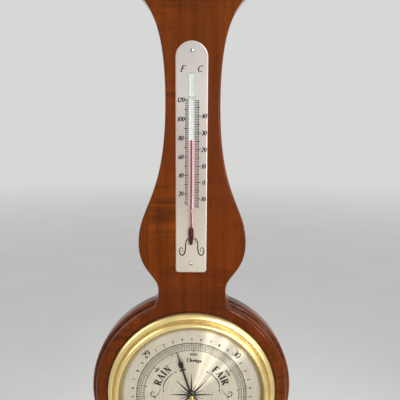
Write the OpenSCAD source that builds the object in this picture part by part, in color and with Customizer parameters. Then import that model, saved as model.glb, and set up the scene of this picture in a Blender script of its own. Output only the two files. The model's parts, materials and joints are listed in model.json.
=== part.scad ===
// Wall barometer with a round dial, a banjo-shaped board and a thermometer.
// Row frame: the wall is the plane y = 0, the front faces -Y, and +Z is up.
// The origin is the centre of the hanging hole.

/* [Board] */
// Radius of the round lower part
case_r = 100; // [96:1:120]
// Thickness of the board
board_t = 22; // [21:0.5:28]
// Radius of the moulding's inner quarter round
mould_in = 5.3; // [3:0.1:7]
// Height of the small step in the moulding
mould_step = 1; // [0.4:0.1:2]
// Radius of the moulding's outer quarter round
mould_out = 3.7; // [2:0.1:5]
// Radius of the inside corner between the round part and the neck
notch_r = 10; // [6:1:14]
// The same radius at the front face
notch_front_r = 18; // [14:1:22]
// Width of the neck just above the round part
throat_w = 65.2; // [56:0.2:74]
// Width of the bulge
bulge_w = 102.2; // [90:0.2:114]
// Width of the neck at its narrowest
waist_w = 50.4; // [42:0.2:60]
// Width across the corners of the head
head_w = 107; // [96:0.5:118]
// Height of the throat above the round part
throat_up = 6; // [5:0.5:9]
// Height of the bulge above the round part
bulge_up = 52; // [46:1:60]
// Height of the narrowest place above the round part
waist_up = 185; // [170:1:200]
// Height of the head's corners above the round part
head_up = 283; // [270:1:300]
// Upright land at the head's corners
head_land = 4; // [1:0.5:8]
// Height of the crown above the land
crown_h = 34; // [20:1:48]

/* [Hanging] */
// Depth of the hanging hole below the crown
hanger_down = 26; // [22:1:34]
// Radius of the hanging hole
hanger_hole_r = 3.5; // [2.5:0.1:4.5]
// Width of the hanging plate
hanger_w = 22; // [18:1:30]
// Length of the hanging plate
hanger_len = 44; // [38:1:54]
// Thickness of the hanging plate
hanger_t = 2; // [1.2:0.1:3]
// Radius of the pocket for the nail's head
pocket_r = 7; // [6:0.5:9]
// Depth of that pocket behind the plate
pocket_depth = 10; // [6:0.5:14]
// Distance between the hanging plate's screws
hanger_screw_gap = 30; // [26:1:34]

/* [Bezel and glass] */
// Radius of the dial that can be seen
sight_r = 70; // [66:0.5:74]
// Width of the bezel's inner bead
bead_w = 6.4; // [5.5:0.1:7.5]
// Width of the bezel's groove
groove_w = 2; // [1.8:0.1:2.6]
// Width of the bezel's outer band
band_w = 5; // [3.5:0.1:7]
// Height of the outer band above the board
band_h = 5.5; // [4:0.1:6.5]
// Height of the bead above the board
bead_h = 9.6; // [9:0.1:12]
// Height of the bezel's inner lip above the board
lip_h = 7.1; // [6.9:0.1:8]
// Thickness of the bezel's sheet
bezel_wall = 0.7; // [0.5:0.05:1]
// Number of bezel pins
bezel_pin_n = 3; // [3:1:6]
// Thickness of the glass
glass_t = 1.6; // [1.2:0.1:1.9]
// Rise of the glass from its rim to its middle
glass_rise = 10; // [9:0.5:14]
// How far the glass reaches under the bezel
glass_lap = 4.2; // [3:0.1:4.8]
// Height of the glass ring's section
ring_h = 1.3; // [0.8:0.1:1.6]

/* [Dial and hands] */
// Height of the dial's face above the board
dial_h = 4.5; // [4:0.1:4.6]
// Thickness of the dial
dial_t = 0.8; // [0.5:0.1:1.2]
// How far the dial reaches under the bezel
dial_lap = 2.4; // [1:0.1:3]
// Radius of the hand's tip
hand_len = 49.5; // [44:0.5:56]
// Length of the hand's tail
hand_tail = 17; // [12:0.5:22]
// Reading of the hand, in degrees clockwise from the top
hand_angle = -17.5; // [-138:0.5:138]
// Thickness of the hands' sheet
hand_t = 0.4; // [0.3:0.05:0.6]
// Length of the set hand
set_len = 42; // [30:1:46]
// Direction of the set hand, in degrees clockwise from the top
set_angle = 180; // [-180:5:180]
// Radius of the set spindle
spindle_r = 1.45; // [1.2:0.05:1.8]
// Radius of the knob
knob_r = 3.6; // [3:0.1:6]
// Height of the knob
knob_h = 6; // [4:0.5:10]

/* [Movement can] */
// Width of the can's flange, which lies on the board round the hole
flange_w = 5.5; // [5:0.5:9]
// Thickness of the can's sheet
can_wall = 1; // [0.6:0.1:1.2]
// How far the can's back stays off the wall
can_set = 2; // [1.8:0.1:3]
// Thickness of the can's flange
flange_t = 0.8; // [0.6:0.1:1.2]
// Gap between the can and the board's hole
can_gap = 0.5; // [0.2:0.1:1]

/* [Movement] */
// Radius of the base plate
base_r = 46; // [45:0.5:52]
// Thickness of the base plate
base_t = 1.6; // [1.2:0.1:2]
// Radius of the vacuum capsule
cap_r = 20; // [17:0.5:21]
// Thickness of the capsule
cap_t = 6; // [5:0.2:6.4]
// Gap between the capsule and the base plate
cap_lift = 0.8; // [0.5:0.1:1.1]
// Thickness of the capsule's sheet
cap_sheet = 0.35; // [0.25:0.05:0.5]
// Number of corrugations in the capsule
cap_waves = 3; // [2:1:4]
// Gap between the capsule and the main spring
leaf_gap = 1.4; // [1.3:0.1:1.8]
// Thickness of the main spring
leaf_t = 1; // [0.8:0.1:1.2]
// Width of the main spring
leaf_w = 14; // [12:0.5:16]
// Distance from the spring's clamp to the capsule's post
leaf_reach = 30; // [28:0.5:31]
// Height of the knife edge
knife_h = 1.2; // [1:0.1:1.5]
// Distance from the spring's clamp to the link rod
lever_len = 62; // [58:0.5:66]
// Distance of the link rod to one side of the middle
link_side = 12; // [9:0.5:14]
// Length of the rocking shaft's crank
crank_len = 5; // [4:0.5:6]
// Height of the rocking shaft above the base plate
shaft_up = 3.6; // [3.4:0.1:4.2]
// Radius of the rocking shaft
shaft_r = 1; // [0.8:0.1:1.2]
// Radius of the chain's drum
drum_r = 0.94; // [0.92:0.02:1.2]
// Radius of the hand's arbor
arbor_r = 0.75; // [0.6:0.05:0.9]
// Distance from the middle to each cock pillar
pillar_out = 24; // [23.5:0.5:28]
// Radius of the pillars
pillar_r = 2.5; // [2:0.1:3]
// Thickness of the cocks
cock_t = 1; // [0.8:0.1:1.2]
// Number of turns of the hairspring
hair_turns = 5; // [3:1:6]

/* [Thermometer] */
// Width of the plate
plate_w = 29.3; // [26:0.1:34]
// Length of the plate
plate_len = 213.5; // [200:0.5:225]
// Thickness of the plate
plate_t = 1.2; // [0.8:0.1:2]
// Height of the plate's lower edge above the round part
plate_up = 24.5; // [14:0.5:34]
// Sideways place of the plate
plate_x = -1; // [-3:0.5:3]
// Distance of the pins from the plate's ends
pin_in = 8.5; // [5:0.5:12]
// Radius of the pins' heads
pin_head_r = 1.7; // [1.2:0.1:2.2]
// Width of the tube
tube_w = 5.4; // [4.4:0.1:7]
// Height of the tube's rounded front
tube_h = 3.3; // [3:0.1:4]
// Thickness of the white backing strip
backing_t = 0.5; // [0.3:0.1:0.8]
// Radius of the bore
bore_r = 0.8; // [0.4:0.1:1]
// Height of the bulb's lower end above the plate's lower edge
bulb_up = 27.4; // [20:0.2:36]
// Length of the bulb
bulb_len = 17.2; // [14:0.2:22]
// Width of the bulb
bulb_w = 4.8; // [4:0.1:6]
// Wall of the bulb
bulb_wall = 0.35; // [0.3:0.05:0.6]
// Height of the tube's top above the plate's lower edge
tube_up = 186; // [170:0.5:190]
// Height of the red column's top above the plate's lower edge
column_up = 125.6; // [60:0.2:160]
// Distance of the lower wire above the bulb
wire_low_up = 16; // [8:0.5:24]
// Distance of the upper wire below the tube's top
wire_top_down = 22; // [12:0.5:30]
// Radius of the wires
wire_r = 0.3; // [0.2:0.05:0.5]

/* [Hidden] */
$fn = 96;

// clearances: a running fit, a screw or pin in its hole, and a plain gap
run_fit = 0.03;
seat_fit = 0.05;
gap = 0.3;
over = 1;

// heights above the dial's middle
crown_z = case_r + head_up + head_land + crown_h;
dial_drop = crown_z - hanger_down;
plate_z = case_r + plate_up;

// radii across the bezel, from the sight edge outwards
groove_lean = 0.6;
flange_in = 1.6;
bead_r = sight_r + bead_w;
groove_r = bead_r + (groove_w - groove_lean) / 2;
bezel_r = bead_r + groove_w + band_w;
bead_in_r = bead_r - bezel_wall;
dial_r = sight_r + dial_lap;
glass_r = sight_r + glass_lap;
flange_r = groove_r - flange_in;
can_r = flange_r - flange_w;
can_screw_r = (can_r + flange_r) / 2;
bezel_foot = 0.9;
groove_drop = 1.2;
can_screw_turn = 60;
can_screw_len = 9;
can_screw_head_r = 1.8;
can_screw_head_h = 1.3;
bezel_pin_r = 0.35;
bezel_pin_head_r = 0.55;
bezel_pin_len = 7;
plate_pin_r = 0.6;
plate_pin_len = 8;

// the glass, from its rim to its middle, above the board
glass_rim_h = lip_h - bezel_wall;
dome_r = sight_r - 0.8;
glass_top_h = glass_rim_h + glass_rise;
bush_r = spindle_r + 0.9;
bush_flange_r = bush_r + 0.9;
bush_flange_t = 0.7;
washer_t = 0.3;

// heights off the wall inside the can
floor_z = can_set + can_wall;
base_z = floor_z + base_t;
cap_z = base_z + cap_lift;
cap_mid = cap_z + cap_t / 2;
cap_top = cap_z + cap_t;
leaf_z = cap_top + leaf_gap;
leaf_top = leaf_z + leaf_t;
lever_t = 1;
lever_top = leaf_top + lever_t;
post_top = leaf_top + knife_h + 1.4;
lower_cock_z = post_top + 0.8;
drum_z = lower_cock_z + cock_t + 0.6;
drum_h = 2;
chain_z = drum_z + drum_h / 2;
hair_z = drum_z + drum_h + 0.4;
hair_h = 0.4;
upper_cock_z = hair_z + hair_h + 0.6;
cock_top = upper_cock_z + cock_t;
dial_back = board_t + dial_h - dial_t;
shaft_z = base_z + shaft_up;
arm_len = chain_z - shaft_z;

// hands, above the wall
collet_z = board_t + dial_h + 2.1;
collet_h = 1.8;
collet_r = 2.4;
hand_z = collet_z + 0.6;
arbor_tip = collet_z + collet_h + 0.5;
spindle_z = arbor_tip + 0.4;
boss_r = spindle_r + 0.5;
boss_h = 1;
knob_z = board_t + glass_top_h + bush_flange_t + washer_t + 0.1;

// the movement's plan
leaf_x = -leaf_reach;
jaw = 3;
block_w = leaf_w + 4;
block_back = leaf_x - 12;
tail_x = leaf_x - 6;
adjust_x = leaf_x - 9;
adjust_r = 1.5;
adjust_head_r = 2.6;
tail_lift = 1;
link_x = leaf_x + lever_len;
shaft_x = link_x - crank_len;
chain_r = 0.2;
chain_y = drum_r + chain_r + 0.02;
crank_t = 0.8;
eye_r = 1.4;
eye_hole_r = 0.8;
crank_pin_r = 0.35;
crank_y = -link_side - 0.8 - crank_t;
shaft_low = crank_y - 3;
shaft_high = chain_y + 7;
pivot_r = 0.5;
pivot_len = 1.2;
shaft_cock_t = 1.5;
post_r = 2.2;
knife_w = 1;
knife_len = 9;
knife_play = 0.8;
screw_r = 1;
head_r = 2;
dial_pillar_at = 36;
base_screw_at = 41;
base_screw_r = 1.5;
base_head_h = 1.5;
base_angles = [15, 152, 255];
dial_angles = [45, 135, 270];
hair_pitch = 0.9;
hair_wall = 0.22;
hair_in = arbor_r + 1.4;
stud_at = hair_in + hair_turns * hair_pitch + 0.5;

// thermometer heights above the dial's middle, and its own heights above the board
bulb_z = plate_z + bulb_up;
tube_low = bulb_z + bulb_len - 1.5;
tube_top = plate_z + tube_up;
column_top = plate_z + column_up;
bulb_r = bulb_w / 2;
tube_r = tube_w / 2;
tube_c = plate_t + tube_h - tube_r;
bulb_c = plate_t + bulb_r + 0.02;
bore_c = bulb_c;

// One cubic stretch of an outline from a point up to, but not including, its end
function bend(p, q, r, s, n = 16) = [for (i = [0:n - 1]) let (t = i / n, u = 1 - t)
    u * u * u * p + 3 * u * u * t * q + 3 * u * t * t * r + t * t * t * s];

// Points along an ellipse between two angles
function arc(c, rx, ry, a, b, n = 12) = [for (i = [0:n]) let (t = a + (b - a) * i / n)
    [c[0] + rx * cos(t), c[1] + ry * sin(t)]];

// The direction of a path at point i, and its side, a quarter turn to the left
function way(p, i) = let (a = p[max(i - 1, 0)], b = p[min(i + 1, len(p) - 1)]) (b - a) / norm(b - a);
function side(p, i) = let (d = way(p, i)) [-d[1], d[0]];

// The outline of a sheet of thickness t that lies to the left of a path
function sheet(p, t) = concat(p, [for (i = [len(p) - 1:-1:0]) p[i] + t * side(p, i)]);

function mirrored(p) = [for (i = [len(p) - 1:-1:0]) [-p[i][0], p[i][1]]];

// Right edge of the neck and head, from the throat to the crown
function neck_edge() =
    let (throat = [throat_w / 2, case_r + throat_up], bulge = [bulge_w / 2, case_r + bulge_up],
         waist = [waist_w / 2, case_r + waist_up], corner = [head_w / 2, case_r + head_up],
         land = [head_w / 2, case_r + head_up + head_land], crown = [0, crown_z])
    concat(
        bend(throat, throat + [0, 14], bulge - [0, 27.5], bulge),
        bend(bulge, bulge + [0, 38], waist - [0, 90.5], waist),
        bend(waist, waist + [0, 70], corner - [14, 14], corner), [corner],
        bend(land, land + [-22, 2], crown + [26, 0], crown));

// Everything is drawn face on: x to the right, y up from the dial's middle, z off the wall
module face_on() {
    translate([0, 0, -dial_drop]) rotate([90, 0, 0]) children();
}

module ring_of(n, r, first = 0) {
    for (i = [0:n - 1]) rotate([0, 0, first - 360 * i / n]) translate([0, r, 0]) children();
}

module at_polar(r, angles) {
    for (a = angles) translate([r * cos(a), r * sin(a), 0]) children();
}

module tube(r_out, r_in, h) {
    difference() {
        cylinder(r = r_out, h = h);
        translate([0, 0, -over]) cylinder(r = r_in, h = h + 2 * over);
    }
}

// A pan-head screw whose head sits on z = 0 and whose shank goes down
module pan_screw(head, head_h, shank, len) {
    difference() {
        union() {
            cylinder(r = head, h = head_h);
            translate([0, 0, -len]) cylinder(r = shank, h = len + head_h / 2);
        }
        translate([-head - over, -0.3, head_h * 0.45]) cube([2 * (head + over), 0.6, head_h]);
    }
}

// A countersunk screw whose flat head ends at z = 0
module flat_screw(head, shank, len) {
    difference() {
        union() {
            translate([0, 0, shank - head]) cylinder(r1 = shank, r2 = head, h = head - shank);
            translate([0, 0, -len]) cylinder(r = shank, h = len - head + shank + 0.1);
        }
        translate([-head - over, -0.25, -0.5]) cube([2 * (head + over), 0.5, 2]);
    }
}

module flat_hole(head, shank, len) {
    translate([0, 0, shank - head]) cylinder(r1 = shank + seat_fit, r2 = head + seat_fit, h = head - shank);
    translate([0, 0, -0.01]) cylinder(r = head + seat_fit, h = over);
    translate([0, 0, -len - gap]) cylinder(r = shank + seat_fit, h = len + gap);
}

// Board

module round_part() {
    drop = mould_in + mould_step + mould_out;
    flat = case_r - mould_in - mould_out;
    rotate_extrude($fn = 180)
        polygon(concat([[0, 0], [case_r, 0]],
            arc([case_r - mould_out, board_t - drop], mould_out, mould_out, 0, 90),
            arc([flat, board_t - mould_in], mould_in, mould_in, 0, 90),
            [[0, board_t]]));
}

module neck_outline() {
    edge = neck_edge();
    root = sqrt(pow(case_r, 2) - pow(throat_w / 2, 2)) - 10;
    right = concat([[throat_w / 2, root]], edge);
    polygon(concat(right, [[0, crown_z]], mirrored(right)));
}

// The inside corner between the neck and a circle of radius r, with a fillet of radius f
module notch(r, f) {
    edge = throat_w / 2;
    c = [edge + f, sqrt(pow(r + f, 2) - pow(edge + f, 2))];
    touch = c * r / (r + f);
    corner = sqrt(r * r - edge * edge);
    difference() {
        polygon([[edge - 1, c[1]], c, touch * (r - 1) / r, [edge - 1, corner - 1]]);
        translate(c) circle(r = f);
    }
}

module notches(r, f, h) {
    linear_extrude(h) notch(r, f);
    mirror([1, 0, 0]) linear_extrude(h) notch(r, f);
}

module case_board() {
    notch_lap = 0.8;
    flat = case_r - mould_in - mould_out;
    drop = mould_in + mould_step + mould_out;
    color([0.42, 0.16, 0.09]) face_on() difference() {
        union() {
            round_part();
            linear_extrude(board_t) neck_outline();
            notches(case_r, notch_r, board_t - drop);
            notches(flat + notch_lap, notch_front_r, board_t);
        }
        translate([0, 0, -over]) cylinder(r = can_r + can_gap, h = board_t + 2 * over, $fn = 180);
        ring_of(3, can_screw_r, can_screw_turn) translate([0, 0, board_t - can_screw_len - gap])
            cylinder(r = screw_r + seat_fit, h = can_screw_len + over + gap);
        ring_of(bezel_pin_n, groove_r) translate([0, 0, board_t - bezel_pin_len - gap])
            cylinder(r = bezel_pin_r + seat_fit, h = bezel_pin_len + over + gap);
        for (y = [plate_z + pin_in, plate_z + plate_len - pin_in])
            translate([plate_x, y, board_t - plate_pin_len - gap])
                cylinder(r = plate_pin_r + seat_fit, h = plate_pin_len + over + gap);
        wire_places() translate([0, 0, board_t - 1.5]) cylinder(r = wire_r + gap, h = 2);
        hanger_recess();
    }
}

module hanger_recess() {
    translate([0, dial_drop, 0]) {
        translate([0, 0, -over]) linear_extrude(hanger_t + over) hanger_shape(seat_fit);
        cylinder(r = pocket_r, h = hanger_t + pocket_depth);
        for (s = [-1, 1]) translate([0, s * hanger_screw_gap / 2, 0])
            cylinder(r = 1.2 + seat_fit, h = 12 + gap);
    }
}

// Hanging plate

module hanger_shape(extra) {
    r = hanger_w / 2 + extra;
    straight = hanger_len / 2 - hanger_w / 2;
    for (s = [-1, 1]) translate([0, s * straight]) circle(r = r);
    translate([-r, -straight]) square([2 * r, 2 * straight]);
}

module hanger_plate() {
    color([0.78, 0.64, 0.3]) face_on() translate([0, dial_drop, 0]) difference() {
        linear_extrude(hanger_t) hanger_shape(0);
        translate([0, 0, -over]) cylinder(r = hanger_hole_r, h = hanger_t + 2 * over);
        for (s = [-1, 1]) translate([0, s * hanger_screw_gap / 2, 0]) mirror([0, 0, 1])
            flat_hole(2.4, 1.2, 12);
    }
}

module hanger_screws() {
    color([0.8, 0.7, 0.4]) face_on() translate([0, dial_drop, 0])
        for (s = [-1, 1]) translate([0, s * hanger_screw_gap / 2, 0]) mirror([0, 0, 1])
            flat_screw(2.4, 1.2, 12);
}

// Movement can

module movement_can() {
    color([0.72, 0.7, 0.62]) face_on() difference() {
        union() {
            translate([0, 0, can_set]) cylinder(r = can_r, h = board_t + flange_t - can_set, $fn = 180);
            translate([0, 0, board_t]) cylinder(r = flange_r, h = flange_t, $fn = 180);
        }
        translate([0, 0, floor_z]) cylinder(r = can_r - can_wall, h = board_t, $fn = 180);
        ring_of(3, can_screw_r, can_screw_turn) translate([0, 0, board_t - over])
            cylinder(r = screw_r + seat_fit, h = flange_t + 2 * over);
        at_polar(base_screw_at, base_angles) cylinder(r = base_screw_r + seat_fit, h = floor_z + over);
        translate([adjust_x, 0, 0]) cylinder(r = adjust_head_r + 0.5, h = floor_z + over);
    }
}

module can_screws() {
    color([0.75, 0.65, 0.4]) face_on() ring_of(3, can_screw_r, can_screw_turn)
        translate([0, 0, board_t + flange_t])
            pan_screw(can_screw_head_r, can_screw_head_h, screw_r, can_screw_len + flange_t);
}

// Bezel and glass

// The bezel's outer face from its foot on the board to its lip on the glass, as radius and height
function bezel_face() =
    let (band_in = bezel_r - band_w, base = band_h - groove_drop, half = bead_w / 2,
         lip_turn = 180 - asin((lip_h + 0.25 - base) / (bead_h - base)))
    concat([[bezel_r, 0]],
        arc([band_in + 0.3, bezel_foot], band_w - 0.3, band_h - bezel_foot, 0, 86, 10),
        [[band_in - 0.2, band_h - 0.3], [band_in - groove_lean, base]],
        arc([bead_r - half, base], half, bead_h - base, 0, lip_turn, 16),
        [[sight_r, lip_h]]);

module bezel() {
    color([0.8, 0.65, 0.3]) face_on() difference() {
        translate([0, 0, board_t]) rotate_extrude($fn = 180) polygon(sheet(bezel_face(), bezel_wall));
        ring_of(bezel_pin_n, groove_r) translate([0, 0, board_t - over])
            cylinder(r = bezel_pin_r + seat_fit, h = bead_h + over);
    }
}

module bezel_pins() {
    seat = board_t + band_h - groove_drop + 0.02;
    color([0.7, 0.55, 0.28]) face_on() ring_of(bezel_pin_n, groove_r) {
        translate([0, 0, seat]) cylinder(r = bezel_pin_head_r, h = bezel_pin_head_r);
        translate([0, 0, board_t - bezel_pin_len])
            cylinder(r = bezel_pin_r, h = seat - board_t + bezel_pin_len + bezel_pin_r);
    }
}

// The dome is part of a sphere through the rim and the middle
function dome_ball(rise) = (dome_r * dome_r + rise * rise) / (2 * rise);
function dome_height(r, rise) = let (b = dome_ball(rise)) sqrt(b * b - r * r) - (b - rise);
function dome(from, rise, base, n = 20) = [for (i = [0:n]) let (r = from + (dome_r - from) * i / n)
    [r, base + dome_height(r, rise)]];
function backwards(p) = [for (i = [len(p) - 1:-1:0]) p[i]];

module glass() {
    hole = bush_r + seat_fit;
    color([0.8, 0.88, 0.9, 0.3]) face_on() translate([0, 0, board_t]) rotate_extrude($fn = 180)
        polygon(concat(dome(hole, glass_rise, glass_rim_h),
            [[glass_r, glass_rim_h], [glass_r, glass_rim_h - glass_t]],
            backwards(dome(hole, glass_rise, glass_rim_h - glass_t))));
}

module glass_ring() {
    top = board_t + glass_rim_h - glass_t - 0.02;
    color([0.75, 0.6, 0.28]) face_on() translate([0, 0, top - ring_h])
        tube(bead_in_r - 0.25, dial_r + gap, ring_h, $fn = 180);
}

module glass_bush() {
    top = board_t + glass_top_h;
    color([0.78, 0.62, 0.3]) face_on() difference() {
        union() {
            translate([0, 0, top - glass_t - 0.5]) cylinder(r = bush_r, h = glass_t + 0.6);
            translate([0, 0, top]) cylinder(r = bush_flange_r, h = bush_flange_t);
        }
        translate([0, 0, top - 5]) cylinder(r = spindle_r + run_fit, h = 8);
    }
}

module set_washer() {
    color([0.6, 0.5, 0.3]) face_on() translate([0, 0, board_t + glass_top_h + bush_flange_t + 0.03])
        tube(bush_r + 0.5, spindle_r + run_fit, washer_t);
}

module set_spindle() {
    color([0.82, 0.68, 0.35]) face_on() translate([0, 0, spindle_z])
        cylinder(r = spindle_r, h = knob_z + knob_h - 1.5 - spindle_z);
}

module set_knob() {
    ribs = 24;
    color([0.82, 0.68, 0.35]) face_on() difference() {
        translate([0, 0, knob_z]) rotate_extrude() polygon([[0, 0], [knob_r * 0.7, 0],
            [knob_r * 0.7, 0.8], [knob_r, 1.2], [knob_r, knob_h - 1], [knob_r - 0.8, knob_h], [0, knob_h]]);
        translate([0, 0, knob_z - over]) cylinder(r = spindle_r + 0.01, h = knob_h - 1.5 + over);
        for (i = [0:ribs - 1]) rotate([0, 0, 360 * i / ribs])
            translate([knob_r + 0.1, 0, knob_z + 1]) cylinder(r = 0.28, h = knob_h, $fn = 16);
    }
}

module set_hand() {
    z = spindle_z + 0.1;
    color([0.82, 0.68, 0.35]) face_on() rotate([0, 0, -set_angle]) difference() {
        union() {
            translate([0, 0, z]) cylinder(r = boss_r, h = boss_h);
            translate([0, 0, z + 0.2]) linear_extrude(hand_t)
                polygon([[-1, 0], [1, 0], [0.8, set_len - 8], [1.6, set_len - 6], [0, set_len],
                         [-1.6, set_len - 6], [-0.8, set_len - 8]]);
        }
        translate([0, 0, z - over]) cylinder(r = spindle_r + 0.01, h = boss_h + 2 * over);
    }
}

// Dial and indicating hand

module dial_plate() {
    color([0.8, 0.78, 0.72]) face_on() translate([0, 0, dial_back])
        tube(dial_r, arbor_r + 1, dial_t, $fn = 180);
}

// Half of the hand's outline, from the hub to the tip, as half width and radius
function hand_half() =
    let (neck = hand_len - 20.5)
    [[1.1, 0], [0.8, neck - 0.8], [2.6, neck - 0.8], [3, neck], [2.6, neck + 0.8], [0.9, neck + 0.8],
     [0.9, neck + 1.6], [2, neck + 3], [2.7, neck + 5.5], [2, neck + 8], [0.9, neck + 9.6],
     [0.6, neck + 10.4], [0.35, hand_len - 2], [0, hand_len]];

module indicating_hand() {
    half = hand_half();
    tail = hand_tail;
    color([0.1, 0.1, 0.12]) face_on() rotate([0, 0, -hand_angle]) difference() {
        union() {
            translate([0, 0, collet_z]) cylinder(r = collet_r, h = collet_h);
            translate([0, 0, hand_z]) linear_extrude(hand_t) {
                polygon(concat(half, mirrored(half)));
                polygon([[-1.1, 0.5], [-0.8, -tail + 5], [-2.2, -tail + 2.5], [-1.4, -tail], [1.4, -tail],
                         [2.2, -tail + 2.5], [0.8, -tail + 5], [1.1, 0.5]]);
            }
        }
        translate([0, 0, collet_z - over]) cylinder(r = arbor_r + 0.01, h = collet_h + 2 * over);
    }
}

module hand_arbor() {
    color([0.82, 0.8, 0.72]) face_on() union() {
        translate([0, 0, lower_cock_z + 0.1]) cylinder(r = 0.4, h = cock_t + 0.2);
        translate([0, 0, lower_cock_z + cock_t + 0.1])
            cylinder(r = arbor_r, h = arbor_tip - lower_cock_z - cock_t - 0.1);
        for (z = [drum_z - 0.4, drum_z + drum_h]) translate([0, 0, z]) cylinder(r = drum_r + 0.8, h = 0.4);
        translate([0, 0, drum_z]) cylinder(r = drum_r, h = drum_h);
        translate([0, 0, hair_z]) cylinder(r = hair_in - 0.2, h = hair_h);
    }
}

module hairspring() {
    n = 16;
    steps = hair_turns * n;
    inner = [for (i = [0:steps]) (hair_in + hair_pitch * i / n) * [sin(360 * i / n), cos(360 * i / n)]];
    outer = [for (i = [steps:-1:0])
        (hair_in + hair_wall + hair_pitch * i / n) * [sin(360 * i / n), cos(360 * i / n)]];
    color([0.35, 0.4, 0.55]) face_on() translate([0, 0, hair_z]) linear_extrude(hair_h)
        polygon(concat(inner, outer));
}

module hairspring_stud() {
    color([0.8, 0.65, 0.3]) face_on() translate([0, stud_at + hair_wall, hair_z - 0.2])
        cylinder(r = 0.45, h = upper_cock_z - hair_z + 0.2 - 0.01);
}

module chain() {
    links = 16;
    start = 0.4;
    pitch = (shaft_x - 0.55 - start) / links;
    color([0.7, 0.6, 0.35]) face_on() for (i = [0:links - 1])
        translate([start + i * pitch, chain_y, chain_z]) rotate([0, 90, 0])
            cylinder(r = i % 2 == 0 ? chain_r : chain_r * 0.75, h = pitch, $fn = 16);
}

// Cocks and pillars

module cock(z, hole) {
    wide = 2 * pillar_r + 3;
    translate([0, 0, z]) difference() {
        union() {
            translate([-wide / 2, -pillar_out, 0]) cube([wide, 2 * pillar_out, cock_t]);
            for (s = [-1, 1]) translate([0, s * pillar_out, 0]) cylinder(r = wide / 2, h = cock_t);
        }
        translate([0, 0, -over]) cylinder(r = hole, h = cock_t + 2 * over);
        for (s = [-1, 1]) translate([0, s * pillar_out, -over])
            cylinder(r = screw_r + seat_fit, h = cock_t + 2 * over);
    }
}

module lower_cock() {
    color([0.8, 0.65, 0.32]) face_on() cock(lower_cock_z, 0.4 + run_fit);
}

module upper_cock() {
    color([0.8, 0.65, 0.32]) face_on() cock(upper_cock_z, arbor_r + run_fit);
}

module cock_pillars() {
    h = lower_cock_z - base_z;
    color([0.78, 0.64, 0.32]) face_on() for (s = [-1, 1]) translate([0, s * pillar_out, base_z])
        difference() {
            cylinder(r = pillar_r, h = h);
            translate([0, 0, h - 5]) cylinder(r = screw_r + seat_fit, h = 6);
        }
}

module cock_spacers() {
    color([0.78, 0.64, 0.32]) face_on() for (s = [-1, 1])
        translate([0, s * pillar_out, lower_cock_z + cock_t])
            tube(pillar_r, screw_r + seat_fit, upper_cock_z - lower_cock_z - cock_t);
}

module cock_screws() {
    color([0.6, 0.6, 0.62]) face_on() for (s = [-1, 1]) translate([0, s * pillar_out, cock_top])
        pan_screw(head_r, 1.2, screw_r, cock_top - lower_cock_z + 4.5);
}

// Rocking shaft, its cocks and its link

module rocking_shaft() {
    color([0.62, 0.62, 0.64]) face_on() translate([shaft_x, 0, shaft_z]) {
        translate([0, shaft_high, 0]) rotate([90, 0, 0]) cylinder(r = shaft_r, h = shaft_high - shaft_low);
        translate([0, shaft_high + pivot_len, 0]) rotate([90, 0, 0])
            cylinder(r = pivot_r, h = shaft_high - shaft_low + 2 * pivot_len);
        translate([0, chain_y, 0]) cylinder(r = 0.5, h = arm_len + 0.6);
        translate([0, crank_y, -1]) cube([crank_len, crank_t, 2]);
        translate([crank_len, crank_y + crank_t + 1.8, 0]) rotate([90, 0, 0])
            cylinder(r = crank_pin_r, h = crank_t + 1.8);
        translate([crank_len, crank_y + crank_t, 0]) rotate([90, 0, 0]) cylinder(r = 1, h = crank_t);
    }
}

module shaft_cock(y, out) {
    wide = 5;
    foot = 5;
    thick = shaft_cock_t;
    low = min(y, y + out * thick);
    difference() {
        union() {
            translate([shaft_x - wide / 2, low, base_z]) cube([wide, thick, shaft_up + 2]);
            translate([shaft_x - wide / 2, min(y, y + out * (thick + foot)), base_z])
                cube([wide, thick + foot, 1.2]);
        }
        translate([shaft_x, low + thick + over, shaft_z]) rotate([90, 0, 0])
            cylinder(r = pivot_r + run_fit, h = thick + 2 * over);
        translate([shaft_x, y + out * (thick + foot / 2), base_z - over])
            cylinder(r = screw_r + seat_fit, h = 4);
    }
}

module shaft_cocks() {
    color([0.8, 0.65, 0.32]) face_on() {
        shaft_cock(shaft_high + 0.1, 1);
        shaft_cock(shaft_low - 0.1, -1);
    }
}

module foot_places() {
    reach = 0.1 + shaft_cock_t + 2.5;
    for (y = [shaft_high + reach, shaft_low - reach]) translate([shaft_x, y, base_z]) children();
}

module cock_foot_screws() {
    color([0.6, 0.6, 0.62]) face_on() foot_places() translate([0, 0, 1.2])
        pan_screw(1.7, 1, screw_r, 1.2 + base_t - 0.1);
}

module link_rod() {
    top = lever_top + 0.5;
    color([0.65, 0.65, 0.67]) face_on() translate([link_x, -link_side, 0]) {
        translate([0, 0.4, shaft_z]) rotate([90, 0, 0]) tube(eye_r, eye_hole_r, 0.8);
        translate([0, 0, shaft_z + eye_r - 0.2]) cylinder(r = 0.45, h = top - shaft_z - eye_r + 0.2);
        translate([0, 0, leaf_top - 0.5]) cylinder(r = 0.9, h = 0.49);
        translate([0, 0, lever_top + 0.01]) cylinder(r = 0.9, h = 0.49);
    }
}

// Main lever, main spring and knife edge

module main_lever() {
    start = 4;
    wide = 6;
    tip = [link_x, -link_side];
    bend_at = [16, -1];
    color([0.68, 0.68, 0.7]) face_on() difference() {
        translate([0, 0, leaf_top]) linear_extrude(lever_t) {
            polygon([[start, -wide / 2], [bend_at[0] - 1, -wide / 2 - 0.4],
                tip + [-1.2, -1.6], tip + [0.6, 1.9],
                     [bend_at[0] + 1.5, 0], [bend_at[0] - 3, wide / 2], [start, wide / 2]]);
            translate(tip) circle(r = 2);
        }
        translate([tip[0], tip[1], 0]) cylinder(r = 0.45 + seat_fit, h = board_t);
        rivet_places() cylinder(r = 0.8 + seat_fit, h = board_t);
    }
}

module rivet_places() {
    for (x = [7.5, 12]) translate([x, 0, 0]) children();
}

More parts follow.
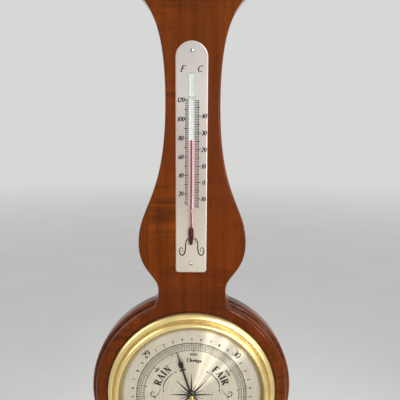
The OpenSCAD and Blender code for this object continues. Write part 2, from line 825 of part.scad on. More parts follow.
module lever_rivets() {
    color([0.75, 0.75, 0.76]) face_on() rivet_places() {
        translate([0, 0, leaf_z]) cylinder(r = 0.8, h = lever_top - leaf_z + 0.2);
        translate([0, 0, lever_top + 0.01]) cylinder(r = 1.4, h = 0.5);
    }
}

module knife_edge() {
    color([0.55, 0.56, 0.6]) face_on() translate([0, knife_len / 2, leaf_top]) rotate([90, 0, 0])
        linear_extrude(knife_len) polygon([[-knife_w / 2, 0], [knife_w / 2, 0],
            [knife_w / 2, knife_h - 0.5], [0, knife_h], [-knife_w / 2, knife_h - 0.5]]);
}

module main_spring() {
    color([0.5, 0.52, 0.58]) face_on() difference() {
        translate([leaf_x - jaw, -leaf_w / 2, leaf_z]) cube([leaf_reach + jaw + 15, leaf_w, leaf_t]);
        cylinder(r = post_r + 0.6, h = board_t);
        rivet_places() cylinder(r = 0.8 + seat_fit, h = board_t);
    }
}

module spring_block() {
    step = leaf_top + 0.12;
    foot = leaf_z - 0.12;
    color([0.5, 0.5, 0.5]) face_on() difference() {
        union() {
            translate([tail_x, -block_w / 2, base_z]) cube([leaf_x - tail_x, block_w, foot - base_z]);
            translate([block_back, -block_w / 2, base_z + tail_lift])
                cube([leaf_x - jaw - 0.3 - block_back, block_w, step - base_z - tail_lift]);
        }
        for (s = [-1, 1]) {
            translate([leaf_x - 3, s * (block_w / 2 - 3), 0])
                cylinder(r = screw_r + seat_fit, h = base_z + 6);
            translate([leaf_x - 7.5, s * (block_w / 2 - 3), step - 5])
                cylinder(r = screw_r + seat_fit, h = 6);
        }
    }
}

module block_screws() {
    color([0.6, 0.6, 0.62]) face_on() for (s = [-1, 1])
        translate([leaf_x - 3, s * (block_w / 2 - 3), floor_z]) mirror([0, 0, 1])
            flat_screw(head_r, screw_r, base_t + 5.5);
}

module spring_clamp() {
    z = leaf_top + 0.12;
    color([0.62, 0.62, 0.62]) face_on() difference() {
        translate([block_back, -block_w / 2, z]) cube([leaf_x - block_back, block_w, 2]);
        for (s = [-1, 1]) translate([leaf_x - 7.5, s * (block_w / 2 - 3), z - over])
            cylinder(r = screw_r + seat_fit, h = 4);
    }
}

module clamp_screws() {
    z = leaf_top + 2.12;
    color([0.6, 0.6, 0.62]) face_on() for (s = [-1, 1])
        translate([leaf_x - 7.5, s * (block_w / 2 - 3), z]) pan_screw(head_r, 1.2, screw_r, 6.5);
}

// Vacuum capsule

// One corrugated sheet from its hub to its rim, as radius and height over the capsule's middle
function diaphragm() =
    let (hub = post_r + 1, last = cap_r - 2.4, deep = cap_t / 2, n = 12 * cap_waves)
    concat([[hub - 0.5, deep]],
        [for (i = [0:n]) [hub + (last - hub) * i / n, deep - 0.4 * (1 - cos(360 * cap_waves * i / n))]],
        arc([last, cap_sheet + 0.05], 1.2, deep - cap_sheet - 0.05, 84, 6, 6),
        [[cap_r - 0.9, cap_sheet], [cap_r, cap_sheet]]);

module half_capsule() {
    path = diaphragm();
    rotate_extrude() polygon(concat(path,
        [for (i = [len(path) - 1:-1:0]) path[i] - cap_sheet * side(path, i)]));
    translate([0, 0, cap_t / 2 - 1]) cylinder(r = post_r + 1, h = 1);
}

module capsule_front() {
    slot_low = leaf_top - knife_play;
    color([0.72, 0.66, 0.45]) face_on() difference() {
        union() {
            translate([0, 0, cap_mid]) half_capsule();
            translate([0, 0, cap_top - 0.5]) cylinder(r = post_r, h = post_top - cap_top + 0.5);
        }
        translate([-knife_w / 2 - gap, -knife_len, slot_low])
            cube([knife_w + 2 * gap, 2 * knife_len, knife_h + 2 * knife_play]);
    }
}

module capsule_rear() {
    color([0.72, 0.66, 0.45]) face_on() {
        translate([0, 0, cap_mid]) mirror([0, 0, 1]) half_capsule();
        translate([0, 0, floor_z + 0.05]) cylinder(r = 2, h = cap_z - floor_z + 0.5);
        translate([0, 0, base_z]) cylinder(r = 3, h = cap_lift + 0.2);
    }
}

// Base plate, its screws and the dial's pillars

module base_plate() {
    color([0.68, 0.68, 0.66]) face_on() difference() {
        translate([0, 0, floor_z]) cylinder(r = base_r, h = base_t);
        translate([0, 0, floor_z - over]) cylinder(r = 2 + seat_fit, h = 4);
        at_polar(base_screw_at, base_angles) cylinder(r = base_screw_r + seat_fit, h = base_z + over);
        at_polar(dial_pillar_at, dial_angles) translate([0, 0, floor_z]) mirror([0, 0, 1])
            flat_hole(head_r, screw_r, base_t + 1);
        for (s = [-1, 1]) translate([leaf_x - 3, s * (block_w / 2 - 3), floor_z]) mirror([0, 0, 1])
            flat_hole(head_r, screw_r, base_t + 1);
        translate([adjust_x, 0, 0]) cylinder(r = adjust_r + run_fit, h = base_z + over);
        foot_places() translate([0, 0, -base_t - over]) cylinder(r = screw_r + seat_fit, h = 4);
    }
}

module base_screws() {
    color([0.6, 0.6, 0.62]) face_on() at_polar(base_screw_at, base_angles) translate([0, 0, can_set])
        mirror([0, 0, 1]) pan_screw(2.8, base_head_h, base_screw_r, can_wall + base_t + 0.6);
}

module dial_pillars() {
    h = dial_back - base_z;
    color([0.78, 0.64, 0.32]) face_on() at_polar(dial_pillar_at, dial_angles) translate([0, 0, base_z])
        difference() {
            cylinder(r = pillar_r, h = h);
            translate([0, 0, -over]) cylinder(r = screw_r + seat_fit, h = 6 + over);
        }
}

module pillar_screws() {
    color([0.6, 0.6, 0.62]) face_on() at_polar(dial_pillar_at, dial_angles) translate([0, 0, floor_z])
        mirror([0, 0, 1]) flat_screw(head_r, screw_r, base_t + 5);
}

module adjusting_screw() {
    head_h = 1.8;
    head_z = can_set - 1.4;
    color([0.78, 0.66, 0.35]) face_on() translate([adjust_x, 0, 0]) difference() {
        union() {
            translate([0, 0, head_z]) cylinder(r = adjust_head_r, h = head_h);
            translate([0, 0, head_z]) cylinder(r = adjust_r, h = base_z + tail_lift - 0.05 - head_z);
        }
        translate([-4, -0.4, head_z - over]) cube([8, 0.8, over + 0.9]);
    }
}

// Thermometer

module plate_outline() {
    r = plate_w / 2;
    c = 3;
    translate([plate_x, 0]) {
        translate([0, plate_z + plate_len - r]) circle(r = r);
        translate([-r, plate_z + c]) square([2 * r, plate_len - r - c]);
        translate([-r + c, plate_z]) square([2 * (r - c), c + over]);
        for (s = [-1, 1]) translate([s * (r - c), plate_z + c]) circle(r = c);
    }
}

module thermometer_plate() {
    color([0.82, 0.8, 0.76]) face_on() translate([0, 0, board_t]) difference() {
        linear_extrude(plate_t) plate_outline();
        for (y = [plate_z + pin_in, plate_z + plate_len - pin_in])
            translate([plate_x, y, -over]) cylinder(r = plate_pin_r + seat_fit, h = plate_t + 2 * over);
        wire_places() translate([0, 0, -over]) cylinder(r = wire_r + seat_fit, h = 5);
    }
}

module plate_pins() {
    color([0.75, 0.65, 0.4]) face_on() for (y = [plate_z + pin_in, plate_z + plate_len - pin_in])
        translate([plate_x, y, board_t + plate_t]) {
            cylinder(r = pin_head_r, h = pin_head_r / 2);
            translate([0, 0, -plate_t - plate_pin_len])
                cylinder(r = plate_pin_r, h = plate_t + plate_pin_len + pin_head_r / 4);
        }
}

module tube_backing() {
    color([0.95, 0.94, 0.9]) face_on() translate([plate_x, 0, board_t + plate_t])
        translate([-tube_r + 0.5, tube_low + 1, 0]) cube([tube_w - 1, tube_top - tube_low - 3, backing_t]);
}

// The tube's section: a round front on a flat back, with a channel for the white strip
module tube_section() {
    difference() {
        intersection() {
            translate([0, tube_c]) circle(r = tube_r);
            translate([-tube_w, plate_t]) square([2 * tube_w, tube_w * 2]);
        }
        translate([-tube_r + 0.48, plate_t - over]) square([tube_w - 0.96, backing_t + over + 0.02]);
    }
}

module thermometer_tube() {
    top_cut = tube_top - tube_low;
    color([0.9, 0.92, 0.92, 0.4]) face_on() translate([plate_x, 0, board_t]) difference() {
        union() {
            translate([0, tube_low, 0]) mirror([0, 1, 0]) rotate([90, 0, 0])
                linear_extrude(top_cut) tube_section();
            translate([0, bulb_z, bulb_c]) bulb_shape(bulb_r);
        }
        translate([0, bulb_z, bulb_c]) bulb_shape(bulb_r - bulb_wall);
        translate([0, bulb_z + bulb_len / 2, bore_c]) rotate([-90, 0, 0])
            cylinder(r = bore_r, h = tube_top - 3 - bulb_z - bulb_len / 2, $fn = 32);
    }
}

// A round-ended bulb that lies along y from its lower end
module bulb_shape(r) {
    low = bulb_r;
    high = bulb_len - bulb_r;
    translate([0, low, 0]) sphere(r = r, $fn = 48);
    translate([0, high, 0]) sphere(r = r, $fn = 48);
    translate([0, low, 0]) rotate([-90, 0, 0]) cylinder(r = r, h = high - low, $fn = 48);
}

module spirit() {
    color([0.6, 0.05, 0.05]) face_on() translate([plate_x, 0, board_t]) {
        translate([0, bulb_z, bulb_c]) bulb_shape(bulb_r - bulb_wall - 0.02);
        translate([0, bulb_z + bulb_len / 2, bore_c]) rotate([-90, 0, 0])
            cylinder(r = bore_r - 0.02, h = column_top - bulb_z - bulb_len / 2, $fn = 32);
    }
}

// The two heights of the wires, and the holes that their ends go through
function wire_heights() = [bulb_z + bulb_len + wire_low_up, tube_top - wire_top_down];
wire_bow = tube_r + wire_r + 0.05;

module wire_places() {
    for (y = wire_heights(), s = [-1, 1]) translate([plate_x + s * wire_bow, y, 0]) children();
}

module tie_wires() {
    reach = tube_c;
    color([0.75, 0.68, 0.5]) face_on() translate([plate_x, 0, board_t]) for (y = wire_heights())
        translate([0, y, 0]) {
            translate([0, 0, tube_c]) rotate([90, 0, 0]) rotate_extrude(angle = 180)
                translate([wire_bow, 0]) circle(r = wire_r, $fn = 24);
            for (s = [-1, 1]) translate([s * wire_bow, 0, -1])
                cylinder(r = wire_r, h = reach + 1.001, $fn = 24);
        }
}

case_board();
hanger_plate();
hanger_screws();
movement_can();
can_screws();
bezel();
bezel_pins();
glass();
glass_ring();
glass_bush();
set_washer();
set_spindle();
set_knob();
set_hand();
dial_plate();
indicating_hand();
hand_arbor();
hairspring();
hairspring_stud();
chain();
lower_cock();
upper_cock();
cock_pillars();
cock_spacers();
cock_screws();
rocking_shaft();
shaft_cocks();
cock_foot_screws();
link_rod();
main_lever();
lever_rivets();
knife_edge();
main_spring();
spring_block();
block_screws();
spring_clamp();
clamp_screws();
capsule_front();
capsule_rear();
base_plate();
base_screws();
dial_pillars();
pillar_screws();
adjusting_screw();
thermometer_plate();
plate_pins();
tube_backing();
thermometer_tube();
spirit();
tie_wires();
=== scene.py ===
"""Wall barometer: the wooden case, brass bezel, glass, printed dial, thermometer, pins, knob and chain.

Face on, x is to the right, y up from the dial's middle and h the height off the wall, all in
millimetres. The row frame has the wall at y = 0, the front towards -Y and the hanging hole at 0.
The hands, the movement and the other fittings are shown as packed, each with its slot's finish.
"""
import json
import math

import bmesh
import bpy
import numpy as np
from bpy.props import FloatProperty, FloatVectorProperty, IntProperty, PointerProperty
from mathutils import Matrix, Vector
from mathutils.geometry import tessellate_polygon


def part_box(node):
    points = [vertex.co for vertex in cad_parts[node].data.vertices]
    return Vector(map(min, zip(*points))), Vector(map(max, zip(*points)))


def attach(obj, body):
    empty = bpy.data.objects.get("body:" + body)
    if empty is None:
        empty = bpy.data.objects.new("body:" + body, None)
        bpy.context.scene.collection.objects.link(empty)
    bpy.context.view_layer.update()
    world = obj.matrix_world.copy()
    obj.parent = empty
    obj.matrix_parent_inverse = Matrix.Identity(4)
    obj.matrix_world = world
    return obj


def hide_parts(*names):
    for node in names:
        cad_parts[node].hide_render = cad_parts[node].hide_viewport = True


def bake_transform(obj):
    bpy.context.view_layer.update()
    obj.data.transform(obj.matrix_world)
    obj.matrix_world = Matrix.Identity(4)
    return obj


bl_info = {
    "name": "Wall Barometer",
    "version": (1, 0, 0),
    "blender": (4, 5, 0),
    "location": "View3D > Sidebar > Barometer",
    "description": "Builds the case, dial and thermometer of a wall barometer",
    "category": "Object",
}

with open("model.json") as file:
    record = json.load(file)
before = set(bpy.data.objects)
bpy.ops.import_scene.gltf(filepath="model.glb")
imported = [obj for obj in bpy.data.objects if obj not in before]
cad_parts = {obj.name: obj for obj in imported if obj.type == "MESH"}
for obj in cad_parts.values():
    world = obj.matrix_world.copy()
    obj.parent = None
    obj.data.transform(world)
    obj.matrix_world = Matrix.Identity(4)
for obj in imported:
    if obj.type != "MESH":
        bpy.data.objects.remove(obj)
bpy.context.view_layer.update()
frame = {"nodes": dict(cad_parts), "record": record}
MM = 0.001
TURN = 2 * math.pi

# Millimetres: the dial's middle below the hanging hole, and the thermometer's middle beside the dial's
DIAL_DROP = 395.0
TUBE_X = -1.0
PLATE_THICK = 1.2


# Sizes and colours

def length(name, description, default):
    """A size in metres, given here in millimetres."""
    return FloatProperty(name=name, description=description, default=default * MM,
                         min=0.0, subtype="DISTANCE", unit="LENGTH")


def colour(name, description, default):
    """A colour, given as red, green and blue from 0 to 1."""
    return FloatVectorProperty(name=name, description=description, default=default,
                               size=3, min=0.0, max=1.0, subtype="COLOR")


class CaseSizes(bpy.types.PropertyGroup):
    """Sizes of the wooden case."""
    radius: length("Round radius", "Radius of the round part", 100)
    thickness: length("Thickness", "Thickness of the board", 22)
    bore: length("Bore", "Radius of the hole for the movement", 70.3)
    inner_round: length("Inner round", "Radius of the moulding's inner quarter round", 5.3)
    step: length("Step", "Height of the moulding's small step", 1)
    outer_round: length("Outer round", "Radius of the moulding's outer quarter round", 3.7)
    edge: length("Edge", "Rounding of the neck's front edge", 1.8)


class BezelSizes(bpy.types.PropertyGroup):
    """Sizes of the brass bezel and the glass."""
    sight: length("Sight radius", "Radius of the dial that can be seen", 70)
    bead: length("Bead width", "Width of the inner bead", 6.4)
    groove: length("Groove width", "Width of the groove", 2)
    band: length("Band width", "Width of the outer band", 5)
    band_height: length("Band height", "Height of the band above the board", 5.5)
    bead_height: length("Bead height", "Height of the bead above the board", 9.6)
    lip: length("Lip height", "Height of the inner lip above the board", 7.1)
    sheet: length("Sheet", "Thickness of the brass sheet", 0.7)
    glass: length("Glass", "Thickness of the glass", 1.6)
    rise: length("Rise", "Rise of the glass from its rim to its middle", 10)


class DialSizes(bpy.types.PropertyGroup):
    """Sizes of the dial and its printing."""
    height: length("Dial height", "Height of the dial's face above the board", 4.5)
    scale: length("Scale radius", "Radius of the outer ring of the inch scale", 54)
    inch_turn: FloatProperty(name="Turn per inch", description="Turn of the hand for one inch of mercury",
                             default=math.radians(92), subtype="ANGLE", unit="ROTATION")
    ink: length("Line", "Width of a fine printed line", 0.40)


class ThermometerSizes(bpy.types.PropertyGroup):
    """Sizes of the thermometer."""
    width: length("Plate width", "Width of the metal plate", 29.3)
    low: length("Plate foot", "Height of the plate's foot above the dial's middle", 124.5)
    top: length("Plate top", "Height of the plate's top above the dial's middle", 338)
    column: length("Column", "Height of the red column's top above the dial's middle", 250.1)
    tube: length("Tube width", "Width of the glass tube", 5.4)


class Finishes(bpy.types.PropertyGroup):
    """Colours of the finishes."""
    wood: colour("Mahogany", "Middle colour of the wood", (0.150, 0.0305, 0.0020))
    brass: colour("Brass", "Colour of the lacquered brass", (0.83, 0.65, 0.28))
    silver: colour("Silvering", "Colour of the silvered dial", (0.76, 0.68, 0.54))
    plate: colour("Plate", "Colour of the thermometer's plate", (0.48, 0.445, 0.41))
    spirit: colour("Spirit", "Colour of the red spirit", (0.062, 0.0015, 0.003))
    ink: colour("Ink", "Colour of the printing", (0.012, 0.011, 0.009))


class StageSettings(bpy.types.PropertyGroup):
    """The floor, the light, the lens and the steps round each turned piece."""
    floor: colour("Floor", "Colour of the floor and the backdrop", (0.68, 0.68, 0.67))
    light: FloatProperty(name="Light", description="Strength of the lamps", default=1.0, min=0.0)
    lens: FloatProperty(name="Lens", description="Focal length", default=41.83, unit="CAMERA")
    levels: IntProperty(name="Rings", description="Steps round each turned piece", default=256, min=24)


# Meshes

def place(x, y, h):
    """Face-on millimetres to metres in the row frame: (x, -h, y - drop) / 1000."""
    x, y, h = np.broadcast_arrays(x, y, h)
    return np.stack([x, -h, y - DIAL_DROP], -1) * MM


def heading(angle):
    """The way (x, y) at an angle clockwise from the top, in degrees."""
    a = math.radians(angle)
    return np.array([math.sin(a), math.cos(a)])


def whole_turn(steps):
    """The sines and the cosines of a whole turn in even steps."""
    a = np.arange(steps) / steps * TURN
    return np.sin(a), np.cos(a)


class Skin:
    """Points and faces gathered from grids and flat caps, then welded into one mesh."""

    def __init__(self):
        self.points, self.faces, self.slots, self.count = [], [], [], 0

    def grid(self, points, round_rows=False, round_columns=False, slot=0):
        """Quads that join each point to the next row and the next column."""
        rows, columns = points.shape[:2]
        i = np.arange(rows if round_rows else rows - 1)[:, None]
        j = np.arange(columns if round_columns else columns - 1)[None, :]
        a, b = i * columns, (i + 1) % rows * columns
        c, d = j, (j + 1) % columns
        quads = np.stack([a + c, b + c, b + d, a + d], -1).reshape(-1, 4)
        self.keep(points.reshape(-1, 3), quads, slot)

    def cap(self, loops, slot=0):
        """A flat face bounded by the first loop, with a hole for each of the others."""
        faces = tessellate_polygon([[Vector(p) for p in loop.tolist()] for loop in loops])
        self.keep(np.concatenate(loops), np.array(faces), slot)

    def bar(self, loops):
        """Loops joined one to the next, with a flat cap at each end."""
        self.grid(loops, round_columns=True)
        self.cap([loops[0]])
        self.cap([loops[-1]])

    def keep(self, points, faces, slot):
        """Adds points with the faces between them and the number of their material."""
        self.points.append(points)
        self.faces += (faces + self.count).tolist()
        self.slots.append(np.full(len(faces), slot))
        self.count += len(points)

    def build(self, name, sharp=35, weld=2e-7, outward=True):
        """Makes the piece: its points welded, and its edges sharp above an angle in degrees."""
        mesh = bpy.data.meshes.new(name)
        mesh.from_pydata(np.concatenate(self.points).tolist(), [], self.faces)
        mesh.polygons.foreach_set("material_index", np.concatenate(self.slots))
        bm = bmesh.new()
        bm.from_mesh(mesh)
        bmesh.ops.remove_doubles(bm, verts=bm.verts, dist=weld)
        bmesh.ops.dissolve_degenerate(bm, edges=bm.edges, dist=weld)
        if outward:
            bmesh.ops.recalc_face_normals(bm, faces=bm.faces)
        bm.to_mesh(mesh)
        bm.free()
        mesh.polygons.foreach_set("use_smooth", np.ones(len(mesh.polygons), bool))
        mesh.set_sharp_from_angle(angle=math.radians(sharp))
        piece = bpy.data.objects.new(name, mesh)
        bpy.context.scene.collection.objects.link(piece)
        return piece


def dress(piece, body, slot, *nodes, finishes=()):
    """Hangs the piece on the body it rides on, hides the nodes it stands for, and gives it its slot's
    finish or the finishes named."""
    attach(piece, body)
    if nodes:
        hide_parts(*nodes)
    for material in finishes or [finish_for(slot)]:
        piece.data.materials.append(material)


def turned_piece(name, profile, sharp):
    """A closed profile (radius, height) carried round the dial's middle: x = r sin a, y = r cos a."""
    sine, cosine = whole_turn(bpy.context.scene.barometer_stage.levels)
    r, h = profile.T
    skin = Skin()
    skin.grid(place(r * sine[:, None], r * cosine[:, None], h), True, True)
    return skin.build(name, sharp)


def round_arc(cx, cy, rx, ry, start, end, n):
    """Points on an ellipse's arc: centre plus (rx cos a, ry sin a), angles in degrees."""
    a = np.radians(np.linspace(start, end, n))
    return np.stack([cx + rx * np.cos(a), cy + ry * np.sin(a)], -1)


def cubic(p, q, r, s, n):
    """A cubic stretch from p to s with handles q and r."""
    t = np.linspace(0, 1, n)[:, None]
    p, q, r, s = (np.asarray(v, float) for v in (p, q, r, s))
    return (1 - t) ** 3 * p + 3 * (1 - t) ** 2 * t * q + 3 * (1 - t) * t * t * r + t ** 3 * s


def drawn_in(path, distance):
    """Each point of an open path moved to its left by the distance, mitred at the corners."""
    way = np.diff(path, axis=0)
    way /= np.linalg.norm(way, axis=1)[:, None]
    left = np.stack([-way[:, 1], way[:, 0]], -1)
    before, after = np.concatenate([left[:1], left]), np.concatenate([left, left[-1:]])
    mitre = (before + after) / (1 + (before * after).sum(1))[:, None]
    return path + mitre * np.asarray(distance)[..., None]


# The case

def neck_path(n):
    """The right edge of the neck and head from the throat to the crown, in three bends and an arch."""
    throat, bulge, waist = (32.6, 106), (51.1, 152), (25.2, 285)
    corner, land, crown = (53.5, 383), (53.5, 387), (0, 421)
    return np.concatenate([
        cubic(throat, (32.6, 120), (51.1, 124.5), bulge, n)[:-1],
        cubic(bulge, (51.1, 190), (25.2, 194.5), waist, n)[:-1],
        cubic(waist, (25.2, 355), (39.5, 369), corner, n)[:-1],
        cubic(corner, (53.5, 384.3), (53.5, 385.7), land, 4)[:-1],
        cubic(land, (31.5, 389), (26, 421), crown, n)])


def case_levels(sizes):
    """The edge from the back to the front: how far in and how high, for the round part and the neck."""
    outer, inner, edge = sizes.outer_round / MM, sizes.inner_round / MM, sizes.edge / MM
    front, step = sizes.thickness / MM, sizes.step / MM
    rear, gap, margin = 0.6, 0.15, 0.5
    foot = front - outer - step - inner
    back = round_arc(rear, rear, rear, rear, 270, 180, 5)
    side = np.stack([np.zeros(4), np.linspace(rear, foot, 6)[1:-1]], -1)
    low = round_arc(outer, foot, outer, outer, 180, 90, 12)
    rise = np.stack([np.full(3, outer), np.linspace(foot + outer + gap, foot + outer + step - gap, 3)], -1)
    high = round_arc(outer + inner, foot + outer + step, inner, inner, 180, 90, 18)
    around = np.concatenate([back, side, low, rise, high, [[outer + inner + margin, front]]])
    rounded = round_arc(edge, front - edge, edge, edge, 180, 90, 18)
    n = len(around) - len(back) - len(rounded) - 1
    up = np.linspace(rear, front - edge, n + 2)[1:-1]
    neck = np.concatenate([back, np.stack([np.zeros(n), up], -1), rounded, [[edge + margin, front]]])
    return around, neck


def case_ring(sizes, around, neck, path):
    """One level of the case's outline as (x, y, h). The corner between the round part and the neck is a
    fillet that touches both and grows towards the front, and the moulding fades into the neck's edge
    along it."""
    tight, loose, moulding, n = 10, 18, 9, 32
    radius = sizes.radius / MM - around[0]
    line = path[0, 0] - neck[0]
    fillet = tight + (loose - tight) * min(around[0] / moulding, 1)
    across = line + fillet
    up = math.sqrt((radius + fillet) ** 2 - across ** 2)
    end = math.degrees(math.atan2(up, across))
    circle = round_arc(0, 0, radius, radius, -90, end, 160)
    corner = round_arc(across, up, fillet, fillet, end + 180, 180, n)
    throat = np.stack([np.full(4, line), np.linspace(up, path[0, 1], 6)[1:-1]], -1)
    edge = drawn_in(path, np.full(len(path), neck[0]))
    edge[-1, 0] = 0
    right = np.concatenate([circle, corner[1:], throat, edge])
    fade = np.concatenate([np.ones(len(circle)), 0.5 + 0.5 * np.cos(np.linspace(0, math.pi, n)[1:]),
                           np.zeros(len(throat) + len(edge))])
    height = fade * around[1] + (1 - fade) * neck[1]
    left = right[-2:0:-1] * (-1, 1)
    return np.concatenate([right, left]), np.concatenate([height, height[-2:0:-1]])


def circle_loop(x, y, r, h, n):
    """A level circle about (x, y) in n steps."""
    sine, cosine = whole_turn(n)
    return place(x + r * sine, y + r * cosine, h)


def long_hole(r, reach, h, n):
    """A loop with two straight sides and round ends about the hanging hole."""
    x, y = np.concatenate([round_arc(0, reach, r, r, 0, 180, n), round_arc(0, -reach, r, r, 180, 360, n)]).T
    return place(x, y + DIAL_DROP, h)


class BAROMETER_OT_case(bpy.types.Operator):
    """Builds the wooden case: its outline carried from the back to the front through the moulding"""
    bl_idname = "barometer.case"
    bl_label = "Case"

    def execute(self, context):
        sizes = context.scene.barometer_case
        path = neck_path(64)
        rings = [case_ring(sizes, a, b, path) for a, b in zip(*case_levels(sizes))]
        co = np.stack([place(p[:, 0], p[:, 1], h) for p, h in rings])
        skin = Skin()
        skin.grid(co, round_columns=True)
        front, bore = sizes.thickness / MM, sizes.bore / MM
        plate_deep, plate_end, plate_reach = 2.02, 11.05, 11
        nail_deep, nail_room = 12, 7
        hole = np.stack([circle_loop(0, 0, bore, h, 180) for h in (0, front)])
        recess = np.stack([long_hole(plate_end, plate_reach, h, 24) for h in (0, plate_deep)])
        pocket = np.stack([circle_loop(0, DIAL_DROP, nail_room, h, 48) for h in (plate_deep, nail_deep)])
        skin.cap([co[0], hole[0], recess[0]], slot=1)
        skin.cap([co[-1], hole[1]])
        for loops in (hole, recess, pocket):
            skin.grid(loops, round_columns=True, slot=1)
        skin.cap([recess[1], pocket[0]], slot=1)
        skin.cap([pocket[1]], slot=1)
        dress(skin.build("case"), "root", "mahogany", "case_board", finishes=[mahogany(), bare_mahogany()])
        return {"FINISHED"}


# The bezel and the glass

def bezel_profile(sizes):
    """The bezel's outer face from its foot to its lip: a band, a groove and a bead, then back along the
    inner side of the sheet. A few short offsets round off each corner."""
    sight, bead, groove, band, band_top, bead_top, lip, sheet = (getattr(sizes, name) / MM for name in (
        "sight", "bead", "groove", "band", "band_height", "bead_height", "lip", "sheet"))
    foot_top, spring, groove_deep, ease = 0.45, 0.9, 1.2, 0.3
    bead_r, base = sight + bead, band_top - groove_deep
    band_in = bead_r + groove
    turn = 180 - math.degrees(math.asin((lip + 0.25 - base) / (bead_top - base)))
    face = np.concatenate([
        [(band_in + band, 0), (band_in + band, foot_top)],
        round_arc(band_in + ease, spring, band - ease, band_top - spring, 0, 84, 26),
        np.add([(0.12, -0.02), (-0.05, -0.18), (-0.2, -0.5)], (band_in, band_top)),
        np.add([(-0.5, 0.12), (-0.75, 0)], (band_in, base)),
        np.add([(0.35, 0), (0.1, 0.12)], (bead_r, base)),
        round_arc(bead_r - bead / 2, base, bead / 2, bead_top - base, 5, turn, 40),
        np.add([(0.25, 0.12), (0.02, -0.05)], (sight, lip))])
    back = drawn_in(face, np.full(len(face), sheet))
    back[:2, 1] = 0, foot_top
    return np.concatenate([face, back[::-1]])


class BAROMETER_OT_bezel(bpy.types.Operator):
    """Builds the brass bezel as one turned profile, with its pins left to their own node"""
    bl_idname = "barometer.bezel"
    bl_label = "Bezel"

    def execute(self, context):
        scene = context.scene
        profile = bezel_profile(scene.barometer_bezel)
        profile[:, 1] += scene.barometer_case.thickness / MM
        dress(turned_piece("bezel_ring", profile, 50), "root", "bezel_brass", "bezel")
        return {"FINISHED"}


def dome_height(r, rim, rise):
    """Height of a dome that is part of a ball through its rim and its middle."""
    ball = (rim * rim + rise * rise) / (2 * rise)
    return np.sqrt(ball * ball - r * r) - (ball - rise)


class BAROMETER_OT_glass(bpy.types.Operator):
    """Builds the domed glass: a ball's cap with a flat rim and a hole for the bush"""
    bl_idname = "barometer.glass"
    bl_label = "Glass"

    def execute(self, context):
        scene = context.scene
        s = scene.barometer_bezel
        sight, thick, rise = s.sight / MM, s.glass / MM, s.rise / MM
        hole, ease, ledge = 2.4, 0.2, 4.2
        rim_top = scene.barometer_case.thickness / MM + s.lip / MM - s.sheet / MM
        dome = sight - 0.8
        r = np.linspace(hole, dome, 48)
        top = np.stack([r, rim_top + dome_height(r, dome, rise)], -1)
        edge = sight + ledge
        rim = np.array([[edge - ease, rim_top], [edge, rim_top - ease],
                        [edge, rim_top - thick + ease], [edge - ease, rim_top - thick]])
        profile = np.concatenate([top, rim, top[::-1] - (0, thick)])
        dress(turned_piece("dome_glass", profile, 40), "root", "clear_glass", "glass")
        return {"FINISHED"}


# Printing: strokes laid flat on a plate

THIN, THICK, FOOT = 0.06, 0.16, 0.07


def ribbon(path, width):
    """A flat strip along a path: each point moved half the width to its left and to its right."""
    path = np.asarray(path, float)
    left = drawn_in(path, np.broadcast_to(width, len(path)) / 2)
    return np.stack([left, 2 * path - left], 0)


def stroke(*v):
    """A pen stroke in a letter's own units, as (path, widths). Five values are a straight line: two ends
    and a width. Six are an arc: centre, radii, start and end. An arc's widths follow a broad pen, thick
    where it runs upright and thin where it runs level."""
    if len(v) == 5:
        return np.array([v[:2], v[2:4]]), np.array([v[4], v[4]])
    path = round_arc(*v, 14)
    a = np.radians(np.linspace(*v[4:], 14))
    return path, THIN + (THICK - THIN) * np.abs(np.cos(a)) ** 1.5


